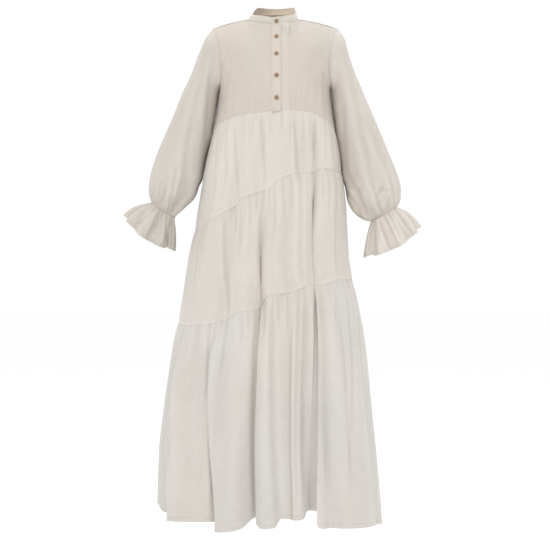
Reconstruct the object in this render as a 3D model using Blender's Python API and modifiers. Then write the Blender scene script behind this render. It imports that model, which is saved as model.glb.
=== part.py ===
"""Tiered dress: a long, hollow, worn-shape gauze dress with a band collar, a buttoned
placket, three slanting gathered tiers and full sleeves that end in a cuff ruffle.

Frame: metres, +X to the viewer's right, the front faces -Y, +Z up. The origin is the
middle of the neck base, where the dress is held. Every cloth piece is a thin wall: an
outer sheet of section points and the same points moved in by the cloth's thickness.
Angles round the body are in degrees: 0 is centre front, 90 the viewer's right side,
-90 the viewer's left side and 180 centre back.
"""

import math

import bmesh
import bpy
import numpy as np
from mathutils import Matrix, Vector

# Cloth and seams
CLOTH = 0.002
SEAM_GAP = 0.0003
PLACKET_WALL = 0.0016

# Neck
NECK_MIDDLE_X = -0.006
NECK_MIDDLE_Y = -0.008
NECK_SEAM_HALF_WIDTH = 0.0745
NECK_SEAM_HALF_DEPTH = 0.060
COLLAR_TOP_HALF_WIDTH = 0.0665
COLLAR_TOP_HALF_DEPTH = 0.055
NECK_SPLIT_ANGLE = 7.0
NECK_PLACKET_ANGLES = {"right": -3.1, "left": 17.6}

# Shoulders and placket
SHOULDER_X = 0.1855
SHOULDER_Z = -0.025
SHOULDER_CROWN = 0.003
CHEST_ROUND = {"front": 0.52, "back": 0.34}
SIDE_PULL = 2.0
MIDDLE_PULL = 4.0
RELAX_TIMES = 18
RIDGE_LEAN = 0.22
INSIDE_DROP = 0.03
PLACKET_MIDDLE_X = 0.003
PLACKET_FOOT = 0.005

# Buttons, as heights on the placket
BUTTON_HEIGHTS = (-0.0165, -0.066, -0.1205, -0.186, -0.2515)
BUTTON_RADIUS = 0.0062
BUTTON_THICKNESS = 0.0026
BUTTON_EDGE = 0.0007
BUTTON_SIDES = 24

# Columns and rows of the sheets
SPLIT_ANGLE = 2.0
PLACKET_ANGLES = {"right": -2.4, "left": 6.2}
FINE_ANGLE = 36.0
FINE_STEPS_LEFT = 16
FINE_STEPS_RIGHT = 14
SIDE_STEPS = 12
BACK_STEPS = 28
ARMHOLE_ROWS = 7
SIDE_SEAM_ROWS = 3
RUFFLE_STEPS = 48
TIER_ROWS = {"tier_1": 3, "tier_2": 4, "tier_3": 7}

# Body sections: height, left and right edge, front and back depth
SECTIONS = (
    {"z": -0.215, "left": -0.170, "right": 0.1680, "front": 0.1410, "back": 0.112},
    {"z": -0.285, "left": -0.179, "right": 0.1745, "front": 0.1430, "back": 0.112},
    {"z": -0.345, "left": -0.187, "right": 0.1805, "front": 0.1460, "back": 0.116},
    {"z": -0.430, "left": -0.204, "right": 0.1925, "front": 0.1530, "back": 0.126},
    {"z": -0.510, "left": -0.2215, "right": 0.2035, "front": 0.1590, "back": 0.135},
    {"z": -0.690, "left": -0.2575, "right": 0.2145, "front": 0.1750, "back": 0.155},
    {"z": -0.840, "left": -0.2805, "right": 0.2445, "front": 0.1880, "back": 0.172},
    {"z": -0.990, "left": -0.3105, "right": 0.2685, "front": 0.2000, "back": 0.184},
    {"z": -1.140, "left": -0.3315, "right": 0.2835, "front": 0.2100, "back": 0.194},
    {"z": -1.290, "left": -0.3480, "right": 0.2985, "front": 0.2150, "back": 0.200},
    {"z": -1.510, "left": -0.3530, "right": 0.3150, "front": 0.2180, "back": 0.204},
)
SECTION_SQUARENESS = 0.82

# Seam heights round the body
YOKE_SEAM = (
    {"angle": -90, "z": -0.345},
    {"angle": -62, "z": -0.318},
    {"angle": -32, "z": -0.299},
    {"angle": -13, "z": -0.294},
    {"angle": 5, "z": -0.286},
    {"angle": 33, "z": -0.290},
    {"angle": 52, "z": -0.305},
    {"angle": 72, "z": -0.328},
    {"angle": 90, "z": -0.345},
    {"angle": 130, "z": -0.338},
    {"angle": 180, "z": -0.332},
    {"angle": 230, "z": -0.338},
    {"angle": 270, "z": -0.345},
)
UPPER_SEAM = (
    {"angle": -90, "z": -0.632},
    {"angle": -62, "z": -0.620},
    {"angle": -54, "z": -0.602},
    {"angle": -42, "z": -0.587},
    {"angle": -29, "z": -0.560},
    {"angle": -25, "z": -0.542},
    {"angle": -11, "z": -0.525},
    {"angle": -3, "z": -0.513},
    {"angle": 3, "z": -0.490},
    {"angle": 20, "z": -0.4685},
    {"angle": 35, "z": -0.4645},
    {"angle": 43, "z": -0.454},
    {"angle": 80, "z": -0.463},
    {"angle": 90, "z": -0.466},
    {"angle": 130, "z": -0.505},
    {"angle": 180, "z": -0.552},
    {"angle": 230, "z": -0.602},
    {"angle": 270, "z": -0.632},
)
LOWER_SEAM = (
    {"angle": -90, "z": -0.905},
    {"angle": -62, "z": -0.911},
    {"angle": -42, "z": -0.906},
    {"angle": -29, "z": -0.893},
    {"angle": -20, "z": -0.868},
    {"angle": -10, "z": -0.864},
    {"angle": -5, "z": -0.849},
    {"angle": -1, "z": -0.823},
    {"angle": 14, "z": -0.813},
    {"angle": 20, "z": -0.804},
    {"angle": 25, "z": -0.788},
    {"angle": 35, "z": -0.792},
    {"angle": 53, "z": -0.777},
    {"angle": 90, "z": -0.780},
    {"angle": 130, "z": -0.808},
    {"angle": 180, "z": -0.848},
    {"angle": 230, "z": -0.886},
    {"angle": 270, "z": -0.905},
)
HEM = (
    {"angle": -90, "z": -1.450},
    {"angle": -80, "z": -1.453},
    {"angle": -72, "z": -1.471},
    {"angle": -50, "z": -1.475},
    {"angle": -29, "z": -1.471},
    {"angle": -25, "z": -1.487},
    {"angle": -13, "z": -1.486},
    {"angle": -7, "z": -1.459},
    {"angle": -3, "z": -1.481},
    {"angle": 3, "z": -1.481},
    {"angle": 6, "z": -1.458},
    {"angle": 14, "z": -1.465},
    {"angle": 18, "z": -1.462},
    {"angle": 20, "z": -1.443},
    {"angle": 24, "z": -1.443},
    {"angle": 26, "z": -1.482},
    {"angle": 29, "z": -1.488},
    {"angle": 45, "z": -1.490},
    {"angle": 60, "z": -1.494},
    {"angle": 75, "z": -1.501},
    {"angle": 90, "z": -1.505},
    {"angle": 110, "z": -1.500},
    {"angle": 140, "z": -1.488},
    {"angle": 180, "z": -1.481},
    {"angle": 225, "z": -1.483},
    {"angle": 250, "z": -1.470},
    {"angle": 270, "z": -1.450},
)

# Folds: angle at the start and foot, width each side in degrees, depth outwards,
# height where the fold starts, is full, begins to fade and ends
FOLD_COLUMNS = ("start", "foot", "left", "right", "depth", "begin", "full", "fade", "end")
FOLDS = (
    # tier 1, front
    (-47, -50, 6, 6, 0.006, -0.31, -0.42, -0.60, -0.72),
    (-31, -32, 4, 5, -0.009, -0.30, -0.40, -0.56, -0.66),
    (-20, -20, 5, 4, 0.005, -0.30, -0.38, -0.54, -0.62),
    (-11, -10, 4, 3, -0.009, -0.29, -0.40, -0.54, -0.64),
    (4, 5, 7, 6, 0.006, -0.29, -0.40, -0.49, -0.58),
    (22, 23, 4, 4, -0.011, -0.29, -0.38, -0.48, -0.60),
    (30, 31, 4, 3, 0.006, -0.29, -0.38, -0.47, -0.56),
    (38, 38, 3, 4, -0.009, -0.29, -0.38, -0.47, -0.58),
    (54, 56, 6, 6, 0.006, -0.31, -0.40, -0.48, -0.60),
    # tier 2, front
    (-50, -52, 7, 6, 0.012, -0.60, -0.76, -0.91, -1.05),
    (-31, -30, 5, 4, -0.020, -0.57, -0.74, -0.90, -1.02),
    (-17, -17, 6, 5, 0.011, -0.54, -0.72, -0.87, -1.02),
    (-5, -5, 4, 3, -0.024, -0.52, -0.76, -0.86, -1.00),
    (4, 4, 3, 5, 0.012, -0.50, -0.68, -0.82, -0.95),
    (14, 13, 3, 3, -0.008, -0.47, -0.60, -0.80, -0.92),
    (24, 23, 4, 4, 0.010, -0.46, -0.60, -0.79, -0.90),
    (34, 34, 3, 3, -0.020, -0.45, -0.56, -0.79, -0.92),
    (48, 50, 8, 8, 0.012, -0.45, -0.60, -0.78, -0.92),
    # tier 3, front
    (-58, -62, 10, 10, 0.010, -0.90, -1.15, -1.60, -1.70),
    (-44, -45, 10, 10, -0.030, -0.92, -1.49, -1.60, -1.70),
    (-24, -28, 4, 3, -0.012, -0.88, -1.10, -1.60, -1.70),
    (-14, -18, 5, 6, 0.062, -0.87, -1.49, -1.60, -1.70),
    (-6, -8, 3, 3, -0.038, -0.85, -1.40, -1.60, -1.70),
    (-1, -1, 4, 4, 0.034, -0.83, -1.40, -1.60, -1.70),
    (12, 11, 5, 5, -0.020, -0.82, -1.30, -1.60, -1.70),
    (23, 22, 3, 3, -0.080, -0.79, -1.35, -1.60, -1.70),
    (33, 33, 3, 4, -0.014, -0.79, -1.20, -1.60, -1.70),
    (46, 48, 12, 14, 0.022, -0.79, -1.30, -1.60, -1.70),
    (72, 74, 6, 6, -0.012, -0.80, -1.20, -1.60, -1.70),
    # tier 1, back
    (112, 112, 8, 8, -0.007, -0.35, -0.44, -0.52, -0.64),
    (131, 130, 6, 6, 0.008, -0.34, -0.44, -0.54, -0.66),
    (147, 148, 5, 6, -0.009, -0.34, -0.42, -0.54, -0.68),
    (166, 165, 6, 6, 0.009, -0.34, -0.44, -0.55, -0.68),
    (182, 183, 5, 5, -0.010, -0.34, -0.42, -0.56, -0.68),
    (199, 198, 6, 6, 0.008, -0.34, -0.44, -0.58, -0.70),
    (217, 218, 6, 5, -0.009, -0.34, -0.44, -0.60, -0.72),
    (238, 240, 8, 7, 0.008, -0.35, -0.45, -0.61, -0.74),
    # tier 2, back
    (120, 121, 7, 6, 0.013, -0.49, -0.66, -0.80, -0.95),
    (136, 137, 5, 6, -0.018, -0.51, -0.68, -0.82, -0.96),
    (155, 155, 6, 6, 0.014, -0.53, -0.70, -0.83, -0.98),
    (173, 172, 6, 5, -0.020, -0.55, -0.70, -0.85, -1.00),
    (190, 191, 6, 6, 0.015, -0.56, -0.72, -0.87, -1.00),
    (208, 209, 5, 6, -0.019, -0.58, -0.74, -0.88, -1.02),
    (229, 228, 8, 7, 0.014, -0.60, -0.76, -0.89, -1.04),
    # tier 3, back
    (110, 110, 8, 8, 0.016, -0.80, -1.20, -1.60, -1.70),
    (127, 126, 6, 5, -0.034, -0.81, -1.40, -1.60, -1.70),
    (141, 142, 6, 6, 0.034, -0.82, -1.40, -1.60, -1.70),
    (156, 157, 5, 5, -0.044, -0.83, -1.42, -1.60, -1.70),
    (170, 172, 6, 6, 0.036, -0.84, -1.40, -1.60, -1.70),
    (187, 187, 5, 6, -0.040, -0.85, -1.40, -1.60, -1.70),
    (203, 202, 6, 6, 0.034, -0.86, -1.40, -1.60, -1.70),
    (219, 218, 6, 5, -0.040, -0.87, -1.42, -1.60, -1.70),
    (236, 238, 8, 8, 0.026, -0.88, -1.30, -1.60, -1.70),
)
TIER_SWELL = 0.006
SWELL_DEPTH = 0.045

# Centre front and centre back lines of the bodice, neck to yoke seam
CENTRE_FRONT = (
    {"y": -0.068, "z": -0.0240},
    {"y": -0.0880, "z": -0.0600},
    {"y": -0.1100, "z": -0.1020},
    {"y": -0.1290, "z": -0.1500},
    {"y": -0.1390, "z": -0.2000},
    {"y": -0.1425, "z": -0.2500},
)
CENTRE_BACK = (
    {"y": 0.0520, "z": 0.0240},
    {"y": 0.0680, "z": -0.0100},
    {"y": 0.0860, "z": -0.0600},
    {"y": 0.1010, "z": -0.1200},
    {"y": 0.1090, "z": -0.1900},
    {"y": 0.1110, "z": -0.2600},
)

# Armhole from shoulder point to underarm: distance out from the middle, depth, height
ARMHOLE_FRONT = (
    {"out": 0.1855, "y": 0.000, "z": -0.025},
    {"out": 0.1740, "y": -0.036, "z": -0.052},
    {"out": 0.1640, "y": -0.066, "z": -0.100},
    {"out": 0.1610, "y": -0.074, "z": -0.145},
    {"out": 0.1635, "y": -0.056, "z": -0.190},
    {"out": 0.1700, "y": 0.000, "z": -0.215},
)
ARMHOLE_BACK = (
    {"out": 0.1855, "y": 0.000, "z": -0.025},
    {"out": 0.1780, "y": 0.034, "z": -0.050},
    {"out": 0.1700, "y": 0.060, "z": -0.100},
    {"out": 0.1670, "y": 0.068, "z": -0.150},
    {"out": 0.1670, "y": 0.050, "z": -0.195},
    {"out": 0.1700, "y": 0.000, "z": -0.215},
)

# Collar heights round the neck: seam at its foot, and its top edge
COLLAR = (
    {"angle": 0, "seam": -0.024, "top": -0.0045},
    {"angle": 45, "seam": -0.014, "top": 0.0050},
    {"angle": 75, "seam": -0.004, "top": 0.0125},
    {"angle": 90, "seam": 0.001, "top": 0.0195},
    {"angle": 108, "seam": 0.010, "top": 0.0350},
    {"angle": 125, "seam": 0.017, "top": 0.0425},
    {"angle": 150, "seam": 0.022, "top": 0.0450},
    {"angle": 180, "seam": 0.024, "top": 0.0450},
)

# Sleeve rings from armhole to elastic: upper outer edge, lower inner edge, half depth
SLEEVE_COLUMNS = ("outer_x", "outer_z", "inner_x", "inner_z", "depth", "middle_y")
SLEEVES = {
    "right": (
        (-0.2060, -0.050, -0.1770, -0.229, 0.068, 0.000),
        (-0.2260, -0.096, -0.1835, -0.254, 0.066, 0.000),
        (-0.2475, -0.150, -0.1862, -0.287, 0.065, -0.001),
        (-0.2795, -0.222, -0.1908, -0.338, 0.066, -0.003),
        (-0.3025, -0.282, -0.2022, -0.390, 0.068, -0.005),
        (-0.3290, -0.344, -0.2138, -0.438, 0.071, -0.007),
        (-0.3545, -0.410, -0.2235, -0.480, 0.074, -0.009),
        (-0.3710, -0.466, -0.2308, -0.512, 0.074, -0.011),
        (-0.3755, -0.503, -0.2420, -0.536, 0.068, -0.012),
        (-0.3750, -0.530, -0.2680, -0.562, 0.052, -0.013),
        (-0.3710, -0.546, -0.2960, -0.589, 0.033, -0.014),
    ),
    "left": (
        (0.2020, -0.048, 0.1760, -0.229, 0.068, 0.000),
        (0.2170, -0.096, 0.1795, -0.254, 0.066, 0.000),
        (0.2355, -0.150, 0.1818, -0.287, 0.065, -0.001),
        (0.2655, -0.222, 0.1845, -0.338, 0.066, -0.003),
        (0.2910, -0.282, 0.1930, -0.392, 0.068, -0.005),
        (0.3165, -0.346, 0.1997, -0.446, 0.071, -0.007),
        (0.3430, -0.414, 0.2085, -0.500, 0.074, -0.009),
        (0.3640, -0.470, 0.2145, -0.543, 0.074, -0.011),
        (0.3715, -0.508, 0.2300, -0.572, 0.068, -0.012),
        (0.3700, -0.538, 0.2510, -0.592, 0.052, -0.013),
        (0.3635, -0.556, 0.2780, -0.6035, 0.033, -0.014),
    ),
}
PUFF_WAVES = 7
PUFF_WAVE_DEPTHS = (0, 0, 0, 0, 0, 0.001, 0.002, 0.003, 0.004, 0.004, 0.002)

# Ruffle rings from elastic to edge, in the same columns as the sleeves
RUFFLES = {
    "right": (
        (-0.3705, -0.549, -0.3015, -0.594, 0.027, -0.014),
        (-0.3840, -0.553, -0.3015, -0.609, 0.035, -0.014),
        (-0.4020, -0.560, -0.3010, -0.631, 0.046, -0.015),
        (-0.4200, -0.571, -0.3020, -0.660, 0.058, -0.016),
        (-0.4440, -0.593, -0.3060, -0.686, 0.066, -0.017),
    ),
    "left": (
        (0.3615, -0.560, 0.2840, -0.604, 0.027, -0.014),
        (0.3730, -0.568, 0.2800, -0.619, 0.035, -0.014),
        (0.3900, -0.579, 0.2760, -0.642, 0.046, -0.015),
        (0.4060, -0.600, 0.2720, -0.676, 0.058, -0.016),
        (0.4240, -0.627, 0.2700, -0.706, 0.066, -0.017),
    ),
}
RUFFLE_WAVES = 9
RUFFLE_WAVE_DEPTHS = (0.0, 0.003, 0.006, 0.010, 0.013)
RUFFLE_DROPS = (0.0, 0.001, 0.005, 0.012, 0.021)

COLOURS = {
    "gauze": (0.78, 0.74, 0.68, 1.0),
    "collar_gauze": (0.80, 0.76, 0.70, 1.0),
    "button_wood": (0.38, 0.25, 0.14, 1.0),
}


def clear_scene():
    for old in list(bpy.data.objects):
        bpy.data.objects.remove(old)


def make_material(name, colour, roughness):
    material = bpy.data.materials.new(name)
    material.use_nodes = True
    shader = material.node_tree.nodes["Principled BSDF"]
    shader.inputs["Base Color"].default_value = colour
    shader.inputs["Roughness"].default_value = roughness
    shader.inputs["Metallic"].default_value = 0.0
    return material


def column(rows, name):
    return np.array([row[name] for row in rows], dtype=float)


def smooth_curve(at, xs, ys):
    """Cubic through the points (xs, ys) that never overshoots them, read at `at`."""
    xs = np.asarray(xs, dtype=float)
    ys = np.asarray(ys, dtype=float)
    at = np.clip(np.asarray(at, dtype=float), xs[0], xs[-1])
    steps = np.diff(xs)
    slopes = np.diff(ys) / steps
    tangents = np.zeros_like(ys)
    same_sign = slopes[:-1] * slopes[1:] > 0
    means = 2 * slopes[:-1] * slopes[1:] / np.where(same_sign, slopes[:-1] + slopes[1:], 1)
    tangents[1:-1] = np.where(same_sign, means, 0)
    tangents[0] = slopes[0]
    tangents[-1] = slopes[-1]
    i = np.clip(np.searchsorted(xs, at, side="right") - 1, 0, len(steps) - 1)
    t = (at - xs[i]) / steps[i]
    start = ys[i] * (1 + 2 * t) * (1 - t) ** 2 + ys[i + 1] * t * t * (3 - 2 * t)
    bend = steps[i] * (tangents[i] * t * (1 - t) ** 2 + tangents[i + 1] * t * t * (t - 1))
    return start + bend


def path_through(points, count):
    """Points spaced evenly along a smooth curve through the given points."""
    points = np.asarray(points, dtype=float)
    lengths = np.r_[0, np.cumsum(np.linalg.norm(np.diff(points, axis=0), axis=1))]
    at = np.linspace(0, lengths[-1], count)
    return np.stack([smooth_curve(at, lengths, points[:, k]) for k in range(3)], axis=1)


def seam_height(rows, angle):
    turned = np.mod(np.asarray(angle, dtype=float) + 90, 360) - 90
    return smooth_curve(turned, column(rows, "angle"), column(rows, "z"))


def fold_depth(angle, z):
    """Sum of the folds: each a bell across the angle that grows and fades with height."""
    turned = np.mod(angle + 90, 360) - 90
    total = np.zeros(np.broadcast(turned, z).shape)
    for values in FOLDS:
        fold = dict(zip(FOLD_COLUMNS, values))
        rise = np.clip((fold["begin"] - z) / (fold["begin"] - fold["full"]), 0, 1)
        fall = np.clip((z - fold["end"]) / (fold["fade"] - fold["end"]), 0, 1)
        along = np.clip((fold["begin"] - z) / (fold["begin"] - fold["fade"]), 0, 1)
        middle = fold["start"] + (fold["foot"] - fold["start"]) * along
        away = np.mod(turned - middle + 180, 360) - 180
        width = np.where(away < 0, fold["left"], fold["right"])
        bell = np.exp(-((away / width) ** 2))
        total = total + fold["depth"] * bell * rise * (2 - rise) * fall * fall * (3 - 2 * fall)
    return total


def tier_swell(angle, z):
    """Cloth is pinched at each gathered seam and swells out just below and above it."""
    swell = np.ones(np.broadcast(angle, z).shape)
    for seam in (YOKE_SEAM, UPPER_SEAM, LOWER_SEAM):
        away = np.abs(z - seam_height(seam, angle)) / SWELL_DEPTH
        swell = swell * (1 - np.exp(-away))
    return TIER_SWELL * swell


def body_point(angle, z):
    angle = np.asarray(angle, dtype=float)
    z = np.asarray(z, dtype=float)
    heights = column(SECTIONS, "z")[::-1]
    edges = {}
    for name in ("left", "right", "front", "back"):
        edges[name] = smooth_curve(z, heights, column(SECTIONS, name)[::-1])
    half_width = (edges["right"] - edges["left"]) / 2
    middle = (edges["right"] + edges["left"]) / 2
    turn = np.radians(angle)
    across = np.sin(turn)
    ahead = np.sign(np.cos(turn)) * np.abs(np.cos(turn)) ** SECTION_SQUARENESS
    depth = np.where(ahead > 0, edges["front"], edges["back"])
    outward = np.stack([across / half_width, -np.cos(turn) / depth], axis=-1)
    outward = outward / np.linalg.norm(outward, axis=-1, keepdims=True)
    out = fold_depth(angle, z) + tier_swell(angle, z)
    x = middle + half_width * across + out * outward[..., 0]
    y = -depth * ahead + out * outward[..., 1]
    return np.stack([x, y, z + 0 * x], axis=-1)


def body_normal(angle, z):
    """Level direction out of the body, square to the section at that height."""
    step = 0.4
    along = body_point(angle + step, z) - body_point(angle - step, z)
    out = np.stack([-along[..., 1], along[..., 0], 0 * along[..., 0]], axis=-1)
    return -out / np.linalg.norm(out, axis=-1, keepdims=True)


def unit(vectors):
    return vectors / np.linalg.norm(vectors, axis=-1, keepdims=True)


def sheet_normals(points, inside):
    """Normals of a grid of points, turned away from the `inside` points."""
    down = np.gradient(points, axis=0)
    along = np.gradient(points, axis=1)
    normals = unit(np.cross(down, along))
    facing = np.sum(normals * (points - inside), axis=-1, keepdims=True)
    return np.where(facing < 0, -normals, normals)


def make_wall(name, outer, inner, material, collection, closed=False):
    """Closed shell between two grids; rows run down, columns round the piece."""
    rows, columns = outer.shape[:2]
    mesh_points = np.concatenate([outer.reshape(-1, 3), inner.reshape(-1, 3)])
    inner_start = rows * columns
    faces = []

    def corner(row, col, start):
        return start + row * columns + col % columns

    def quad(a, b, c, d):
        faces.extend([(a, b, c), (a, c, d)])

    spans = columns if closed else columns - 1
    for row in range(rows - 1):
        for col in range(spans):
            for start in (0, inner_start):
                a = corner(row, col, start)
                b = corner(row + 1, col, start)
                c = corner(row + 1, col + 1, start)
                d = corner(row, col + 1, start)
                quad(a, b, c, d)
    for row in (0, rows - 1):
        for col in range(spans):
            quad(
                corner(row, col, 0),
                corner(row, col + 1, 0),
                corner(row, col + 1, inner_start),
                corner(row, col, inner_start),
            )
    if not closed:
        for col in (0, columns - 1):
            for row in range(rows - 1):
                quad(
                    corner(row, col, 0),
                    corner(row + 1, col, 0),
                    corner(row + 1, col, inner_start),
                    corner(row, col, inner_start),
                )
    mesh = bpy.data.meshes.new(name)
    mesh.from_pydata(mesh_points.tolist(), [], faces)
    shape = bmesh.new()
    shape.from_mesh(mesh)
    bmesh.ops.recalc_face_normals(shape, faces=shape.faces)
    shape.to_mesh(mesh)
    shape.free()
    mesh.shade_smooth()
    mesh.set_sharp_from_angle(angle=math.radians(50))
    mesh.materials.append(material)
    piece = bpy.data.objects.new(name, mesh)
    collection.objects.link(piece)
    return piece


def front_angles():
    left = np.concatenate(
        [
            np.linspace(-90, -FINE_ANGLE, SIDE_STEPS + 1)[:-1],
            np.linspace(-FINE_ANGLE, PLACKET_ANGLES["right"], FINE_STEPS_LEFT - 1)[:-1],
            np.linspace(PLACKET_ANGLES["right"], SPLIT_ANGLE, 3),
        ]
    )
    right = np.concatenate(
        [
            np.linspace(SPLIT_ANGLE, PLACKET_ANGLES["left"], 3)[:-1],
            np.linspace(PLACKET_ANGLES["left"], FINE_ANGLE, FINE_STEPS_RIGHT - 1)[:-1],
            np.linspace(FINE_ANGLE, 90, SIDE_STEPS + 1),
        ]
    )
    return left, right


def back_angles():
    right = np.concatenate(
        [
            np.linspace(90, 180 - FINE_ANGLE, SIDE_STEPS + 1)[:-1],
            np.linspace(180 - FINE_ANGLE, 180, BACK_STEPS // 2 + 1),
        ]
    )
    left = 360 - right[::-1]
    return right, left


def share_even_columns(grid):
    """Put odd columns halfway between even ones, so both sides of a seam match."""
    even = grid.copy()
    even[1:-1:2] = (grid[0:-2:2] + grid[2::2]) / 2
    return even


def tier_wall(angles, upper, lower, rows, match_top):
    """Outer and inner grids of one tier panel between two seams."""
    v = np.linspace(0, 1, rows + 1)[:, None]
    top = seam_height(upper, angles)[None, :] - SEAM_GAP / 2
    foot = seam_height(lower, angles)[None, :] + SEAM_GAP / 2
    z = top + (foot - top) * v
    grid = np.broadcast_to(angles, z.shape)
    outer = body_point(grid, z)
    inner = outer - CLOTH * body_normal(grid, z)
    for sheet in (outer, inner):
        if match_top:
            sheet[0] = share_even_columns(sheet[0])
    toward = unit(body_point(angles[[1, -2]], z[:, [1, -2]]) - outer[:, [0, -1]])
    for sheet in (outer, inner):
        sheet[:, 0] += toward[:, 0] * SEAM_GAP / 2
        sheet[:, -1] += toward[:, 1] * SEAM_GAP / 2
    return outer, inner


def neck_front_angles(side):
    """Neck angles from the split to the side neck, the second at the placket's edge."""
    steps = (FINE_STEPS_RIGHT if side == "left" else FINE_STEPS_LEFT) // 2
    outer = np.linspace(NECK_PLACKET_ANGLES[side], side_sign(side) * 90, steps)
    return np.r_[NECK_SPLIT_ANGLE, outer]


def neck_point(angle):
    turn = np.radians(angle)
    x = NECK_MIDDLE_X + NECK_SEAM_HALF_WIDTH * np.sin(turn)
    y = NECK_MIDDLE_Y - NECK_SEAM_HALF_DEPTH * np.cos(turn)
    folded = np.abs(np.mod(np.asarray(angle) + 180, 360) - 180)
    z = smooth_curve(folded, column(COLLAR, "angle"), column(COLLAR, "seam"))
    return np.stack([x, y, z], axis=-1)


def collar_top_point(angle):
    turn = np.radians(angle)
    x = NECK_MIDDLE_X + COLLAR_TOP_HALF_WIDTH * np.sin(turn)
    y = NECK_MIDDLE_Y - COLLAR_TOP_HALF_DEPTH * np.cos(turn)
    folded = np.abs(np.mod(np.asarray(angle) + 180, 360) - 180)
    z = smooth_curve(folded, column(COLLAR, "angle"), column(COLLAR, "top"))
    return np.stack([x, y, z], axis=-1)


def side_sign(side):
    return -1.0 if side == "right" else 1.0


def armhole_path(side, face):
    """Armhole points from the shoulder point to the underarm."""
    rows = ARMHOLE_FRONT if face == "front" else ARMHOLE_BACK
    points = [(side_sign(side) * row["out"], row["y"], row["z"]) for row in rows]
    if side == "left":
        points[-1] = (SECTIONS[0]["right"], 0.0, SECTIONS[0]["z"])
    return path_through(points, ARMHOLE_ROWS + 1)


def armhole_normals(points, side):
    """Direction across the cloth at the armhole, shared by bodice and sleeve."""
    middle = np.array([0, 0.0, (SHOULDER_Z + SECTIONS[0]["z"]) / 2])
    radial = points * (0, 1, 1) - middle
    radial = unit(radial)
    lean = 0.45 + 0.45 * np.clip(-radial[:, 2:3], 0, 1)
    return unit(radial + lean * np.array([side_sign(side), 0, 0]))


def profile_normals(line, face):
    """Directions out of the centre line of the bodice, with no sideways part."""
    along = np.gradient(line, axis=0)
    out = unit(np.stack([0 * along[:, 0], -along[:, 2], along[:, 1]], axis=1))
    return -out if face == "front" else out


def yoke_edge(angles):
    return seam_height(YOKE_SEAM, angles) + SEAM_GAP / 2


def bodice_quarter(side, face, angles):
    """Grid of one bodice quarter: rows run neck to yoke seam, columns middle to side."""
    sign = side_sign(side)
    if face == "front":
        neck_angles = neck_front_angles(side)
        profile = [(PLACKET_MIDDLE_X, row["y"], row["z"]) for row in CENTRE_FRONT]
    else:
        neck_angles = np.linspace(180, 180 - sign * 90, len(angles) - SIDE_STEPS // 2)
        profile = [(0.0, row["y"], row["z"]) for row in CENTRE_BACK]
    neck = neck_point(neck_angles)
    shoulder = np.array([sign * SHOULDER_X, 0.0, SHOULDER_Z])
    t = np.linspace(0, 1, SIDE_STEPS // 2 + 1)[1:, None]
    crown = SHOULDER_CROWN * np.sin(np.pi * t) * np.array([0, 0, 1.0])
    top = np.concatenate([neck, neck[-1] + (shoulder - neck[-1]) * t + crown])
    foot = body_point(angles, yoke_edge(angles))
    profile[0] = tuple(neck[0])
    profile.append(tuple(foot[0]))
    middle = path_through(profile, ARMHOLE_ROWS + SIDE_SEAM_ROWS + 1)
    armhole = armhole_path(side, face)
    t = np.linspace(0, 1, SIDE_SEAM_ROWS + 1)[1:, None]
    edge = np.concatenate([armhole, armhole[-1] + (foot[-1] - armhole[-1]) * t])
    across = np.linspace(0, 1, len(angles))[None, :, None] ** SIDE_PULL
    down = np.linspace(0, 1, len(edge))[:, None, None]
    drop = np.concatenate([down, np.sin(down * np.pi / 2) ** CHEST_ROUND[face], down], axis=2)
    points = top[None] + (foot - top)[None] * drop
    pull = (edge[:, None] - points[:, -1:]) * across
    return points + (middle[:, None] - points[:, :1]) * (1 - across) ** MIDDLE_PULL + pull


def relaxed(points):
    """Even out a grid's inner points; its four edges stay where they are."""
    points = points.copy()
    for _ in range(RELAX_TIMES):
        near = points[:-2, 1:-1] + points[2:, 1:-1] + points[1:-1, :-2] + points[1:-1, 2:]
        points[1:-1, 1:-1] = (points[1:-1, 1:-1] + near / 4) / 2
    return points


def quarter_normals(points, side, face, angles):
    """Directions across the cloth; along a shared seam both pieces get the same ones."""
    sign = side_sign(side)
    inside = points * (0, 0, 1) - (0, 0, INSIDE_DROP)
    normals = sheet_normals(points, inside)
    normals[:, 0] = profile_normals(points[:, 0], face)
    normals[0, -SIDE_STEPS // 2 - 1 :] = unit(np.array([sign * RIDGE_LEAN, 0.0, 1.0]))
    armhole = points[: ARMHOLE_ROWS + 1, -1]
    normals[: ARMHOLE_ROWS + 1, -1] = armhole_normals(armhole, side)
    normals[ARMHOLE_ROWS + 1 :, -1] = (sign, 0, 0)
    normals[-1] = body_normal(angles, yoke_edge(angles))
    return normals


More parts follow.
